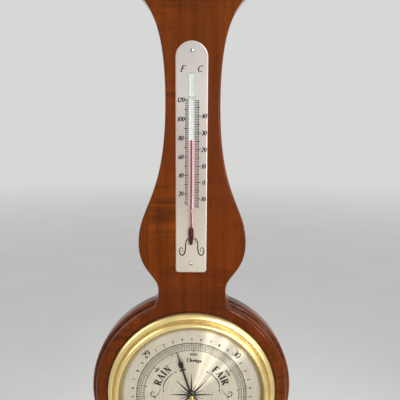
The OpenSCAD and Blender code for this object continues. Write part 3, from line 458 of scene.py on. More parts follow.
# Each letter's width, then its strokes
LETTERS = {
    "0": (0.62, [(.31, .5, .23, .45, 0, 360)]),
    "1": (0.44, [(.22, .02, .22, .97, THICK), (.08, .80, .22, .94, THIN), (.06, .03, .38, .03, FOOT)]),
    "2": (0.60, [(.29, .71, .21, .25, 165, -35), (.46, .57, .08, .08, .09), (.06, .06, .52, .06, .12)]),
    "3": (0.58, [(.26, .73, .19, .22, 150, -90), (.26, .27, .23, .24, 90, -155)]),
    "4": (0.60, [(.38, .96, .05, .30, THIN), (.05, .29, .55, .29, THIN), (.40, .02, .40, .96, THICK),
                (.26, .03, .54, .03, FOOT)]),
    "5": (0.58, [(.13, .92, .48, .92, .10), (.14, .95, .11, .52, THIN), (.26, .30, .23, .27, 125, -155)]),
    "6": (0.60, [(.30, .29, .21, .26, 0, 360), (.60, .36, .50, .59, 112, 176)]),
    "7": (0.56, [(.06, .91, .52, .91, .12), (.50, .91, .22, .02, .11)]),
    "8": (0.60, [(.30, .74, .18, .21, 0, 360), (.30, .27, .22, .24, 0, 360)]),
    "9": (0.60, [(.30, .70, .21, .26, 0, 360), (.00, .63, .50, .60, -68, -4)]),
    "R": (0.74, [(.17, .02, .17, .98, THICK), (.05, .97, .38, .97, FOOT), (.05, .03, .31, .03, FOOT),
                (.36, .74, .21, .23, 90, -90), (.17, .51, .38, .51, THIN), (.36, .52, .62, .03, THICK),
                (.52, .03, .74, .03, FOOT)]),
    "A": (0.74, [(.10, .03, .36, .98, THIN), (.36, .98, .62, .03, THICK), (.16, .33, .54, .33, THIN),
                (.01, .03, .23, .03, FOOT), (.49, .03, .75, .03, FOOT)]),
    "I": (0.38, [(.19, .02, .19, .98, THICK), (.05, .97, .33, .97, FOOT), (.05, .03, .33, .03, FOOT)]),
    "N": (0.80, [(.16, .02, .16, .98, THIN), (.16, .96, .64, .04, THICK), (.64, .02, .64, .98, THIN),
                (.03, .97, .22, .97, FOOT), (.04, .03, .28, .03, FOOT), (.52, .97, .77, .97, FOOT)]),
    "F": (0.64, [(.17, .02, .17, .98, THICK), (.05, .96, .58, .96, FOOT), (.57, .98, .57, .78, THIN),
                (.05, .03, .31, .03, FOOT), (.17, .52, .42, .52, THIN), (.42, .62, .42, .42, THIN)]),
    "C": (0.70, [(.40, .50, .31, .46, 42, 318), (.62, .96, .63, .72, THIN)]),
    "h": (0.58, [(.14, .02, .14, .98, THICK), (.29, .42, .15, .22, 180, 0), (.44, .44, .44, .02, THICK),
                (.04, .03, .25, .03, FOOT), (.34, .03, .55, .03, FOOT)]),
    "a": (0.52, [(.24, .24, .16, .20, 20, 340), (.40, .02, .40, .62, THICK)]),
    "n": (0.58, [(.14, .02, .14, .64, THICK), (.29, .42, .15, .22, 180, 0), (.44, .44, .44, .02, THICK),
                (.04, .03, .25, .03, FOOT), (.34, .03, .55, .03, FOOT)]),
    "g": (0.54, [(.25, .42, .17, .20, 0, 360), (.25, -.08, .19, .17, 0, 360),
                (.38, .58, .50, .64, THIN)]),
    "e": (0.50, [(.25, .33, .18, .29, 0, 320), (.08, .36, .42, .36, THIN)]),
}


class Print:
    """Flat strokes of ink gathered face on, then laid on a surface at one height."""

    def __init__(self, height):
        self.skin, self.height, self.count = Skin(), height, 0

    def layer(self):
        """The next stroke's height: strokes that cross lie a few thousandths of a millimetre apart."""
        self.count += 1
        return self.height + 0.004 * (self.count % 7)

    def strip(self, path, width):
        """A stroke of the given width or widths along a path."""
        p = ribbon(path, width)
        self.skin.grid(place(p[..., 0], p[..., 1], self.layer()))

    def swelling(self, path, thin, wide):
        """A stroke that is thin at its ends and wide in its middle."""
        t = np.linspace(0, math.pi, len(path))
        self.strip(path, thin + (wide - thin) * np.sin(t) ** 1.5)

    def blob(self, spot, radius):
        """A round dot of ink."""
        self.skin.cap([circle_loop(spot[0], spot[1], radius, self.layer(), 14)])

    def ring(self, radius, width):
        """A whole circle about the dial's middle."""
        r = np.array([[radius - width / 2], [radius + width / 2]])
        sine, cosine = whole_turn(360)
        self.skin.grid(place(r * sine, r * cosine, self.layer()), round_columns=True)

    def tick(self, angle, inner, outer, width):
        """A short line along the radius at an angle clockwise from the top, in degrees."""
        way = heading(angle)
        self.strip([way * inner, way * outer], width)

    def word(self, text, size, spot, lean=0.0, spread=1.0, bold=1.0, slant=0.0):
        """Letters along a straight line centred on a spot and turned clockwise by a lean, in degrees."""
        wide = [LETTERS[c][0] * spread for c in text]
        x = -sum(wide) / 2
        up = heading(lean)
        across = up[::-1] * (1, -1)
        for c, step in zip(text, wide):
            for path, width in (stroke(*s) for s in LETTERS[c][1]):
                gx = (x + (path[:, 0] + slant * (path[:, 1] - 0.5)) * spread) * size
                gy = (path[:, 1] - 0.5) * size
                self.strip(np.asarray(spot) + gx[:, None] * across + gy[:, None] * up, width * size * bold)
            x += step

    def arch(self, text, size, radius, middle, loose, bold):
        """Letters set round a circle, each upright on its own radius and as far apart as they are wide."""
        wide = [LETTERS[c][0] * loose * size / radius for c in text]
        turn = math.radians(middle) - sum(wide) / 2
        for c, step in zip(text, wide):
            angle = math.degrees(turn + step / 2)
            self.word(c, size, radius * heading(angle), angle, bold=bold)
            turn += step

    def lay(self, name, slot):
        """Makes the piece of ink that lies on a slot's metal, with every face towards the front."""
        piece = self.skin.build(name, 60, 1e-8, outward=False)
        bm = bmesh.new()
        bm.from_mesh(piece.data)
        bmesh.ops.reverse_faces(bm, faces=[face for face in bm.faces if face.normal.y > 0])
        bm.to_mesh(piece.data)
        bm.free()
        dress(piece, "root", slot, finishes=[printed_ink()])


def smooth_path(knots, n):
    """A curve through its knots: between two, the cubic whose slopes are half the step across them."""
    p = np.concatenate([2 * knots[:1] - knots[1:2], knots, 2 * knots[-1:] - knots[-2:-1]])
    t = (np.arange(n) / n)[None, :, None]
    a, b, c, d = (p[i:len(p) - 3 + i, None] for i in range(4))
    curve = 0.5 * (2 * b + (c - a) * t + (2 * a - 5 * b + 4 * c - d) * t ** 2
                   + (3 * b - a - 3 * c + d) * t ** 3)
    return np.concatenate([curve.reshape(-1, 2), knots[-1:]])


class BAROMETER_OT_dial(bpy.types.Operator):
    """Builds the silvered dial and its printing: two scales, three words, scrolls and a star"""
    bl_idname = "barometer.dial"
    bl_label = "Dial"

    def execute(self, context):
        scene = context.scene
        face = (scene.barometer_case.thickness + scene.barometer_dial.height) / MM
        sight = scene.barometer_bezel.sight / MM
        hole, rim, thick, bevel, ink_gap = 1.75, sight + 2.4, 0.8, 0.1, 0.03
        r = np.concatenate([[hole], np.linspace(2, sight + 2, 60), [rim]])
        top = np.stack([r, np.full(len(r), face)], -1)
        top[[0, -1], 1] -= bevel
        profile = np.concatenate([top, [[rim, face - thick], [hole, face - thick]]])
        plate = turned_piece("dial", profile, 40)
        polar_map(plate)
        dress(plate, "root", "silvered", "dial_plate")
        ink = Print(face + ink_gap)
        self.scales(ink, scene.barometer_dial)
        self.ornaments(ink)
        ink.lay("dial_printing", "silvered")
        return {"FINISHED"}

    def scales(self, ink, sizes):
        """The outer scale in inches of mercury from 28 to 31 and the inner one in millibars from 950 to
        1050. The hand points straight up at 29.5 in, and 1000 millibars stand a little past it."""
        line, scale = sizes.ink / MM, sizes.scale / MM
        inch, millibar, thousand, middle_tenth = math.degrees(sizes.inch_turn), 2.717, 2.5, 295
        inches_in, bars_out, bars_in = scale - 2.5, scale - 4, scale - 7.3
        for radius in (scale, inches_in, bars_out, bars_in):
            ink.ring(radius, line)
        ink.ring(scale + 0.45, line * 0.7)
        for fiftieth in range(-75, 76):
            long = 0.9 if fiftieth % 5 == 0 else 0
            ink.tick(fiftieth * 0.02 * inch, inches_in, scale + long, line * (1.8 if long else 1.35))
        for step in range(-15, 16):
            whole, tenth = divmod(middle_tenth + step, 10)
            angle = step * 0.1 * inch
            if tenth == 0:
                ink.word(str(whole), 6.6, heading(angle) * 61.4, angle, bold=1.25)
            else:
                ink.word(str(tenth), 2.7, heading(angle) * 58.5, angle, spread=1.1, bold=1.9)
        for bars in range(-50, 51):
            angle, long = bars * millibar + thousand, 2 if bars % 10 == 0 else 0
            if bars % 5 == 0:
                ink.tick(angle, bars_in - long, bars_out, line * 1.8)
            else:
                ink.tick(angle, bars_in, scale - 4.4, line * 1.3)
        for bars in range(-40, 41, 20):
            angle = bars * millibar + thousand
            ink.word(str(1000 + bars), 2.5, 42.6 * heading(angle), angle, spread=1.2, bold=1.8)

    def ornaments(self, ink):
        """The weather words, three scrolls and three dots at each side, and the star about the hub. A
        scroll is a smooth line through knots of radius and angle, widest in its middle. A ray of the star
        runs straight out from the hub and narrows as (1 - t) to the power 0.9, with t the share of its
        length, and every second ray is short."""
        ink.arch("RAIN", 7.2, 35.7, -54.8, loose=1.24, bold=1.6)
        ink.arch("FAIR", 7.2, 35.7, 55, loose=1.24, bold=1.6)
        ink.arch("Change", 3.6, 36.8, 4, loose=1.25, bold=1.9)
        scrolls = (([(28.9, 34), (29.2, 44), (29.6, 58), (29.3, 71), (28, 80)], 1.0),
                   ([(30.8, 78), (32.2, 86), (35.8, 92.5), (39.2, 92.2), (40.2, 87.5), (38.4, 85.2),
                     (37.0, 87.6), (38.0, 89.6)], 0.95),
                   ([(36.6, 96), (37.2, 108), (36.4, 122), (33.2, 131), (30.6, 128), (31.4, 123.5),
                     (33.2, 125)], 0.85))
        for side in (-1, 1):
            for knots, wide in scrolls:
                way = np.stack([radius * heading(angle * side) for radius, angle in knots])
                ink.swelling(smooth_path(way, 10), 0.28, wide)
            for radius, angle in ((27.8, 81.5), (28.5, 32.5), (36.3, 94.5)):
                ink.blob(radius * heading(angle * side), 0.75)
        t, hub = np.linspace(0, 1, 9), 2.6
        for i in range(16):
            reach, half = (22, 2.1) if i % 2 == 0 else (12.5, 0.9)
            ink.strip((hub + (reach - hub) * t)[:, None] * heading(i * 22.5), half * (1 - t) ** 0.9 + 0.2)


def polar_map(piece):
    """A map whose first coordinate is the radius and whose second is the turn, about the dial's middle."""
    mesh = piece.data
    co = np.zeros(len(mesh.vertices) * 3)
    mesh.vertices.foreach_get("co", co)
    co = co.reshape(-1, 3)
    loops = np.zeros(len(mesh.loops), int)
    mesh.loops.foreach_get("vertex_index", loops)
    x, z = co[loops, 0] / MM, co[loops, 2] / MM + DIAL_DROP
    turn = np.arctan2(x, z) / TURN
    counts = np.zeros(len(mesh.polygons), int)
    mesh.polygons.foreach_get("loop_total", counts)
    owner = np.repeat(np.arange(len(counts)), counts)
    high = np.full(len(counts), -9.0)
    np.maximum.at(high, owner, turn)
    turn = np.where(high[owner] - turn > 0.5, turn + 1, turn)
    layer = mesh.uv_layers.new(name="polar")
    layer.data.foreach_set("uv", np.stack([np.hypot(x, z) / 100, turn], -1).ravel())


# The thermometer

def plate_edge(x, low, top, width, inset):
    """The plate's outline: a round top and small round corners at the foot, drawn in by an inset."""
    r, c = width / 2, 3.0
    head = round_arc(x, top - r, r - inset, r - inset, 0, 180, 49)
    left = round_arc(x - r + c, low + c, c - inset, c - inset, 180, 270, 13)
    right = round_arc(x + r - c, low + c, c - inset, c - inset, 270, 360, 13)
    return np.concatenate([head, left, right])


class BAROMETER_OT_thermometer(bpy.types.Operator):
    """Builds the thermometer's plate with its printing, the glass tube with its bulb, the white strip and
    the red spirit"""
    bl_idname = "barometer.thermometer"
    bl_label = "Thermometer"

    def execute(self, context):
        scene = context.scene
        s = scene.barometer_thermometer
        board = scene.barometer_case.thickness / MM
        self.plate(s, board)
        self.tube(s, board)
        ink = Print(board + PLATE_THICK + 0.03)
        self.printing(ink)
        ink.lay("thermometer_printing", "plate_silvered")
        return {"FINISHED"}

    def plate(self, s, board):
        """The outline carried up a section with a rounded front edge."""
        section = np.concatenate([[(0.05, 0), (0, 0.05)], round_arc(1.1, 0.55, 1.1, 0.65, 180, 90, 12),
                                  [(1.5, PLATE_THICK)]])
        loops = [(plate_edge(TUBE_X, s.low / MM, s.top / MM, s.width / MM, inset), up)
                 for inset, up in section]
        skin = Skin()
        skin.bar(np.stack([place(p[:, 0], p[:, 1], board + up) for p, up in loops]))
        dress(skin.build("scale_plate"), "root", "plate_silvered", "thermometer_plate")

    def tube(self, s, board):
        """The tube is a D section carried up the plate, closed by a round end above and drawn into the
        bulb below. The spirit fills the bulb and the bore to the column's top."""
        bulb, end = s.low / MM + 27.4, s.low / MM + 186
        radius, thick, bore = s.tube / MM / 2, 3.3, 0.55
        centre, core = PLATE_THICK + thick - radius, board + PLATE_THICK + 2.42
        y = np.sort(np.concatenate([np.linspace(bulb + 15.7, end - radius, 40),
                                    end - radius + radius * np.sin(np.radians(np.arange(10, 91, 10)))]))
        swell = np.sqrt(np.clip(1 - ((y - (end - radius)) / radius).clip(0) ** 2, 0.0004, 1))
        grow = 0.86 + 0.14 * np.clip((y - y[0]) / 6, 0, 1)
        across, h = round_arc(0, centre, radius, radius, -42, 222, 34).T
        h = np.maximum(h, PLATE_THICK + 0.02)
        mid = (PLATE_THICK + h.max()) / 2
        skin = Skin()
        skin.bar(place(TUBE_X + across * (swell * grow)[:, None], y[:, None],
                       board + mid + (h - mid) * (0.25 + 0.75 * swell)[:, None]))
        self.bulb(skin, bulb, 17.2, 2.4, core)
        dress(skin.build("tube_glass"), "root", "tube_glass", "thermometer_tube")
        skin = Skin()
        self.bulb(skin, bulb + 0.4, 16.4, 2.02, core)
        column = s.column / MM
        y = np.array([bulb + 12, bulb + 12, *np.linspace(bulb + 15, column - 0.4, 30),
                      column - 0.1, column])
        r = np.array([0.0] + [bore] * 31 + [0.4, 0.0])[:, None]
        sine, cosine = whole_turn(20)
        skin.grid(place(TUBE_X + r * sine, y[:, None], core + r * cosine), round_columns=True)
        dress(skin.build("red_spirit", 60), "root", "red_spirit", "spirit")
        half, lift, deep = 2.15, 0.49, 0.45
        strip = place(*np.meshgrid([TUBE_X - half, TUBE_X + half], np.linspace(bulb + 17, end - 2, 30)),
                      board + PLATE_THICK + lift)
        skin = Skin()
        skin.bar(np.concatenate([strip, strip[:, ::-1] + (0, deep * MM, 0)], 1))
        dress(skin.build("white_strip", 30), "root", "white_enamel", "tube_backing")

    def bulb(self, skin, low, tall, r, h):
        """A bulb turned about y: a round lower end, a slow swell to its full width in the upper half, and a
        shoulder drawn in to the stem."""
        t = (1 - np.cos(np.linspace(0, math.pi, 56))) / 2
        end = np.sqrt(np.clip(1 - (1 - (t / 0.14).clip(0, 1)) ** 2, 0, 1))
        swell = 0.72 + 0.28 * (0.5 - 0.5 * np.cos(math.pi * ((t - 0.1) / 0.42).clip(0, 1)))
        shoulder = 0.36 + 0.64 * (0.5 + 0.5 * np.cos(math.pi * ((t - 0.84) / 0.16).clip(0, 1)))
        wide = np.append(r * end * swell * shoulder, 0.0)[:, None]
        sine, cosine = whole_turn(32)
        up = np.append(t, 1.0)[:, None]
        skin.grid(place(TUBE_X + wide * sine, low + tall * up, h + wide * cosine), round_columns=True)

    def printing(self, ink):
        """Fahrenheit ticks at the left of the tube, Celsius ticks at the right, numbers and scrolls. A
        degree's height is that of zero plus so many millimetres a degree."""
        f_zero, f_degree, f_line = 183.3, 0.8575, -6.3
        c_zero, c_degree, c_line = 210.9, 1.523, 5.3
        for letter, side in (("F", -8.9), ("C", 6.6)):
            ink.word(letter, 5.9, (side, 313.6), spread=1.05, bold=1.2, slant=0.3)
        for f in range(8, 122, 2):
            y = f_zero + f_degree * f
            long = 1.3 if f % 10 == 0 else 0
            ink.strip([(f_line - long, y), (-3.9, y)], 0.75 if long else 0.6)
        for c in range(-15, 50):
            y = c_zero + c_degree * c
            long = 2.2 if c % 10 == 0 else (1.0 if c % 5 == 0 else 0)
            ink.strip([(1.9, y), (c_line + long, y)], 0.8 if long else 0.62)
        ink.strip([(f_line, 189.5), (f_line, 286.8)], 0.5)
        ink.strip([(c_line, 187.5), (c_line, 286.1)], 0.5)
        for f in range(20, 121, 20):
            ink.word(str(f), 4.3, (-10.6, f_zero + f_degree * f), spread=0.90, bold=1.5, slant=0.2)
        for c in range(-10, 41, 10):
            ink.word(str(abs(c)), 4.3, (10.5, c_zero + c_degree * c), spread=0.95, bold=1.5, slant=0.2)
        knots = np.array([(3.3, 152.6), (3.9, 155.3), (2.6, 156.6), (2.9, 157.9), (5.0, 156.6),
                          (6.1, 152.6), (6.3, 148.0), (7.2, 143.6), (9.4, 141.4), (11.8, 142.8),
                          (12.5, 146.4), (11.0, 148.8), (9.0, 147.6), (9.2, 145.2), (10.6, 145.2)])
        for side in (-1, 1):
            ink.swelling(smooth_path(knots * (side * 0.93, 1), 8) + (TUBE_X + 0.5, 0), 0.35, 1.2)


# Small fittings

class BAROMETER_OT_fittings(bpy.types.Operator):
    """Builds the two domed pins of the thermometer's plate and the ribbed knob of the set hand"""
    bl_idname = "barometer.fittings"
    bl_label = "Pins and knob"

    def execute(self, context):
        board, glass_top = context.scene.barometer_case.thickness / MM, 17.5
        self.pins(board + PLATE_THICK)
        self.knob(board + glass_top)
        return {"FINISHED"}

    def pins(self, face):
        """Each pin's dome is part of a ball, (r sin t, h cos t), on a thin shank sunk through the plate."""
        head, shank = 1.7, 0.6
        t = np.radians(np.linspace(0, 90, 14))
        profile = np.concatenate([np.stack([head * np.sin(t), 0.15 + 0.7 * np.cos(t)], -1),
                                  [(head, 0), (shank, 0), (shank, -5.6), (0, -6)]])
        r, up = profile[:, :1], profile[:, 1:]
        sine, cosine = whole_turn(40)
        skin = Skin()
        for y in (133.0, 329.5):
            skin.grid(place(TUBE_X + r * sine, y + r * cosine, face + up), round_columns=True)
        dress(skin.build("pin_heads", 50), "root", "plate_silvered", "plate_pins",
              finishes=[metal("pin_metal", (0.46, 0.45, 0.43), 0.14, 0.20, size=700, stains=0.12)])

    def knob(self, low):
        """A turned button whose side is pressed into 24 round-bottomed flutes: the radius falls by up to
        0.22 mm where the cosine of 24 times the angle is above 0."""
        flutes, deep, foot, top = 24, 0.22, 1.1, 5.5
        profile = np.concatenate([[(0, 0), (2.5, 0), (2.52, 0.8), (3.2, 0.95)],
                                  round_arc(3.2, 1.35, 0.4, 0.4, -80, 0, 5),
                                  round_arc(2.9, 5.1, 0.7, 0.7, 0, 80, 8),
                                  [(2.2, 5.86), (1.2, 5.92), (0, 5.94)]])
        r, up = profile[:, :1], profile[:, 1:]
        n = 12 * flutes
        a = np.arange(n) / n * TURN
        r = r - deep * ((up > foot) & (up < top)) * np.cos(flutes * a).clip(0) ** 0.6
        skin = Skin()
        skin.grid(place(r * np.sin(a), r * np.cos(a), low + up), round_columns=True)
        dress(skin.build("knurled_knob", 45), "set_hand", "bezel_brass", "set_knob")


class BAROMETER_OT_chain(bpy.types.Operator):
    """Builds the fine chain that runs from the hand's arbor to the rocking shaft's arm"""
    bl_idname = "barometer.chain"
    bl_label = "Chain"

    def execute(self, context):
        """Each link is round wire bent along an ellipse, (a cos u, b sin u), and every second link stands
        a quarter turn from the last."""
        low, high = (np.array(corner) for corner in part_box("chain"))
        links, wire = 20, 0.055 * MM
        pitch = (high[0] - low[0] - 4 * wire) / links
        a, b = pitch / 2 + wire, (high[2] - low[2]) / 2 - wire
        u = (np.arange(16) / 16 * TURN)[:, None]
        v = np.arange(6) / 6 * TURN
        out = np.stack([b * np.cos(u), a * np.sin(u)]) / np.hypot(b * np.cos(u), a * np.sin(u))
        along = a * np.cos(u) + wire * np.cos(v) * out[0]
        across = b * np.sin(u) + wire * np.cos(v) * out[1]
        through = np.broadcast_to(wire * np.sin(v), along.shape)
        skin = Skin()
        for link in range(links):
            flat, tall = (across, through) if link % 2 else (through, across)
            middle = (low[0] + 2 * wire + (link + 0.5) * pitch, *(low + high)[1:] / 2)
            skin.grid(np.stack([along, flat, tall], -1) + middle, round_rows=True, round_columns=True)
        chain = skin.build("fine_chain", 60, 1e-8)
        chain.data.materials.append(finish_for("clock_brass"))
        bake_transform(chain)
        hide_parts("chain")
        return {"FINISHED"}


# Finishes

GRAIN_LEAN = (0, 0.035, 0)


class Nodes:
    """Adds nodes to a material or the backdrop. What a method makes, it gives back as an output."""

    def __init__(self, tree):
        self.tree = tree

    def join(self, node, inputs):
        """Sets each named input of a node, or joins another node's output to it."""
        for key, value in inputs.items():
            if isinstance(value, bpy.types.NodeSocket):
                self.tree.links.new(value, node.inputs[key])
            else:
                node.inputs[key].default_value = value

    def put(self, kind, inputs, output=0, **settings):
        """One node with its settings and inputs."""
        node = self.tree.nodes.new("ShaderNode" + kind)
        for key, value in settings.items():
            setattr(node, key, value)
        self.join(node, inputs)
        return node.outputs[output]

    def math(self, operation, *values):
        """A sum, product or the like of numbers."""
        return self.put("Math", dict(enumerate(values)), operation=operation)

    def vector(self, operation, *values, output=0):
        """The same for vectors."""
        return self.put("VectorMath", dict(enumerate(values)), output, operation=operation)

    def own(self):
        """The piece's own coordinates in metres."""
        return self.put("TexCoord", {}, "Object")

    def up(self):
        """Height in metres above the hanging hole."""
        return self.put("SeparateXYZ", {0: self.own()}, "Z")

    def off_wall(self):
        """Height off the wall in metres."""
        return self.math("MULTIPLY", self.put("SeparateXYZ", {0: self.own()}, "Y"), -1.0)

    def from_axis(self):
        """Distance in metres from the dial's axis: the length of (x, z + drop)."""
        flat = self.vector("ADD", self.own(), (0, 0, DIAL_DROP * MM))
        return self.vector("LENGTH", self.vector("MULTIPLY", flat, (1, 0, 1)), output="Value")

    def scaled(self, value, low, high, start=0.0, end=1.0, fall="LINEAR"):
        """A value from start to end brought into the range from low to high, and kept in it."""
        return self.put("MapRange", {"Value": value, "From Min": start, "From Max": end, "To Min": low,
                                     "To Max": high}, interpolation_type=fall)

    def fade(self, value, start, end, fall="SMOOTHSTEP"):
        """1 up to the start and 0 from the end on."""
        return self.scaled(value, 1.0, 0.0, start, end, fall)

    def band(self, value, middle, half, soft):
        """1 within half a width of the middle, in millimetres, and 0 beyond a soft margin."""
        away = self.math("ABSOLUTE", self.math("SUBTRACT", value, middle * MM))
        return self.fade(away, half * MM, (half + soft) * MM)

    def noise(self, scale, detail=3, rough=0.5, distortion=0.0, turn=(0, 0, 0), where=None):
        """Noise in the piece's own coordinates, stretched by one scale or by one along each axis."""
        if not isinstance(scale, tuple):
            scale = (scale, scale, scale)
        where = self.own() if where is None else where
        at = self.put("Mapping", {"Vector": where, "Scale": scale, "Rotation": turn})
        return self.put("TexNoise", {"Vector": at, "Scale": 1.0, "Detail": detail, "Roughness": rough,
                                     "Distortion": distortion}, "Fac")

    def ramp(self, value, *stops):
        """A colour or grey that changes with a value through stops of (where, tone)."""
        node = self.tree.nodes.new("ShaderNodeValToRGB")
        self.join(node, {"Fac": value})
        elements = node.color_ramp.elements
        while len(elements) < len(stops):
            elements.new(0.5)
        for element, (where, tone) in zip(elements, stops):
            element.position = where
            element.color = (*tone, 1) if isinstance(tone, tuple) else (tone, tone, tone, 1)
        return node.outputs["Color"]

    def mixed(self, base, tone, share=1.0, kind="MULTIPLY"):
        """A colour multiplied by a tone, or mixed with it, by a share."""
        if isinstance(tone, tuple):
            tone = (*tone, 1)
        return self.put("Mix", {0: share, 6: base, 7: tone}, 2, data_type="RGBA", blend_type=kind)

    def clouded(self, tone, low, high, cloud):
        """A tone times low where a noise is low, and times high where it is high."""
        return self.ramp(cloud, (0.3, shade(tone, low)), (0.7, shade(tone, high)))

    def bump(self, height, strength, distance=0.0001):
        """A surface's direction, bent by a height."""
        return self.put("Bump", {"Height": height, "Strength": strength, "Distance": distance})

    def surface(self, colour_value, roughness, **others):
        """Joins or sets the colour, the roughness and the other inputs of the material's own shader."""
        named = {key.replace("_", " "): value for key, value in others.items()}
        self.join(self.tree.nodes["Principled BSDF"],
                  {"Base Color": colour_value, "Roughness": roughness, **named})

    def replace_surface(self, shader):
        """Puts another shader in the place of the material's own."""
        self.tree.nodes.remove(self.tree.nodes["Principled BSDF"])
        self.join(self.tree.nodes["Material Output"], {"Surface": shader})


def finish(draw):
    """Turns a function that draws nodes into one that gives the material, drawn when first asked for. The
    material's name is the function's own, or the first word given."""
    def give(*values, **named):
        name = "barometer_" + (values[0] if values else draw.__name__)
        material = bpy.data.materials.get(name)
        if material is None:
            material = bpy.data.materials.new(name)
            material.use_nodes = True
            draw(Nodes(material.node_tree), *values[1:], **named)
        return material
    return give


def shade(tone, factor):
    """A colour made darker or lighter."""
    return tuple(min(1.0, c * factor) for c in tone)


def chosen(name):
    """A colour from the sidebar's finishes."""
    return tuple(getattr(bpy.context.scene.barometer_finishes, name))


@finish
def mahogany(nodes):
    """Polished mahogany: ribbon stripes and fine fibres up the board, short dark pores, patches of
    level ripple, a curl in one spot, painted shade over the round part, and painted shade darkening
    the moulding's step and a ring round the bezel's foot."""
    wood = chosen("wood")
    stripe = nodes.noise((62, 62, 2.6), detail=4, rough=0.55, distortion=1.2, turn=GRAIN_LEAN)
    base = nodes.ramp(stripe, (0.34, shade(wood, 0.78)), (0.50, wood), (0.68, shade(wood, 1.26)))
    warm = nodes.noise((11, 11, 7), detail=2)
    base = nodes.mixed(base, nodes.ramp(warm, (0.38, (0.86, 0.76, 0.72)), (0.62, (1.0, 1.0, 1.0))))
    fibre = nodes.noise((620, 620, 15), detail=3, rough=0.6)
    base = nodes.mixed(base, nodes.ramp(fibre, (0.38, 0.66), (0.62, 1.0)), 0.35)
    patch = nodes.ramp(nodes.noise(16, detail=1), (0.44, 0.0), (0.62, 1.0))
    ripple = nodes.noise((22, 22, 170), detail=2, rough=0.5, distortion=0.4, turn=(0, 0.08, 0))
    base = nodes.mixed(base, nodes.ramp(ripple, (0.40, 0.66), (0.5, 1.0), (0.62, 1.12)), patch)
    spot = nodes.put("Mapping", {"Vector": nodes.own(), "Location": (1.35, 0, 7.1), "Scale": (45, 0, 33)})
    inside = nodes.fade(nodes.vector("LENGTH", spot, output="Value"), 0.35, 1.0)
    curl = nodes.noise((14, 14, 210), detail=1, rough=0.5, distortion=0.3, turn=(0, 0.10, 0))
    base = nodes.mixed(base, nodes.ramp(curl, (0.38, 0.80), (0.5, 1.0), (0.6, 1.22)), inside)
    pits = nodes.ramp(nodes.noise((1900, 1900, 90), detail=2), (0.33, 0.25), (0.42, 1.0))
    base = nodes.mixed(base, pits, 0.45)
    around = nodes.from_axis()
    # Painted shade: the wood over the round part is made darker, standing for the lower light there
    base = nodes.mixed(base, (0.80, 0.80, 0.80), nodes.band(around, 0, 100, 16))
    # Painted shade: the moulding's step and a ring round the bezel's foot are darkened where shade falls
    step = nodes.math("MULTIPLY", nodes.band(nodes.off_wall(), 16.2, 0.35, 0.8),
                      nodes.band(around, 90, 7.0, 0.4))
    painted_shade = nodes.math("MAXIMUM", step, nodes.band(around, 83.5, 0.5, 2.4))
    base = nodes.mixed(base, (0.32, 0.26, 0.24), nodes.scaled(painted_shade, 0.0, 0.75))
    wave = nodes.noise((45, 45, 16), detail=2)
    nodes.surface(base, nodes.scaled(fibre, 0.26, 0.40), Normal=nodes.bump(pits, 0.15, 0.0002),
                  Specular_IOR_Level=0.03, Specular_Tint=(1.0, 0.62, 0.42, 1), Coat_Weight=1.0,
                  Coat_IOR=1.21, Coat_Roughness=0.14, Coat_Normal=nodes.bump(wave, 0.06, 0.002))


@finish
def bare_mahogany(nodes):
    """The board's back and holes: sawn and planed mahogany without polish, dusty and dull."""
    grain = nodes.noise((70, 70, 3), detail=5, rough=0.6, distortion=0.8, turn=GRAIN_LEAN)
    base = nodes.ramp(grain, (0.32, (0.11, 0.048, 0.023)), (0.52, (0.17, 0.078, 0.038)),
                      (0.7, (0.22, 0.107, 0.054)))
    dust = nodes.noise(24, detail=4, rough=0.6)
    base = nodes.mixed(base, (0.26, 0.19, 0.13), nodes.scaled(dust, 0.0, 0.3), "MIX")
    nodes.surface(base, 0.78, Normal=nodes.bump(nodes.noise((1500, 1500, 60), detail=2), 0.35, 0.0002))


@finish
def lacquered_brass(nodes):
    """Lacquered brass, spun on a lathe: fine turning lines, small stains, and painted shade darkening the
    groove and the lip."""
    tone = chosen("brass")
    stain = nodes.noise(60, detail=3, rough=0.5, distortion=0.4)
    base = nodes.ramp(stain, (0.36, shade(tone, 0.90)), (0.52, tone), (0.68, shade(tone, 1.05)))
    around = nodes.from_axis()
    # Painted shade: brown darkening in the groove and at the inner lip, where shade falls
    groove, lip = nodes.band(around, 77.3, 0.35, 0.7), nodes.band(around, 70.2, 1.1, 1.2)
    base = nodes.mixed(base, (0.46, 0.36, 0.22), nodes.scaled(groove, 0.0, 0.55))
    base = nodes.mixed(base, (0.46, 0.40, 0.27), nodes.scaled(lip, 0.0, 0.85))
    turning = nodes.noise(1300, detail=1, where=nodes.put("CombineXYZ", {0: around}))
    nodes.surface(base, nodes.scaled(turning, 0.24, 0.30), Normal=nodes.bump(turning, 0.003), Metallic=0.78)


@finish
def metal(nodes, tone, low, high, size=500, stains=0.25):
    """A worked metal: a little uneven in colour, with fine marks that change its gloss."""
    base = nodes.clouded(tone, 1 - stains, 1 + stains / 3, nodes.noise(70, detail=4, rough=0.6))
    fine = nodes.noise(size)
    nodes.surface(base, nodes.scaled(fine, low, high), Normal=nodes.bump(fine, 0.06), Metallic=1.0)


@finish
def silvered_dial(nodes):
    """The silvered dial, rubbed round and round: fine rings that spread its gloss along each radius, and a
    painted shadow that darkens its rim under the bezel.
    """
    tone = chosen("silver")
    polar = nodes.put("UVMap", {}, uv_map="polar")
    lines = nodes.noise((700, 2.5, 1), detail=2, rough=0.6, where=polar)
    base = nodes.clouded(tone, 0.90, 1.06, nodes.noise(38, detail=4, rough=0.6))
    base = nodes.mixed(base, nodes.ramp(lines, (0.3, 0.8), (0.7, 1.1)), 0.25)
    # Painted shadow: a ring at the dial's rim is darkened where the bezel's shadow falls
    base = nodes.mixed(base, (0.66, 0.56, 0.40), nodes.band(nodes.from_axis(), 72, 3.6, 2.4))
    tangent = nodes.put("Tangent", {}, direction_type="UV_MAP", uv_map="polar")
    nodes.surface(base, nodes.scaled(lines, 0.25, 0.31), Metallic=0.62, Anisotropic=1.0, Tangent=tangent)


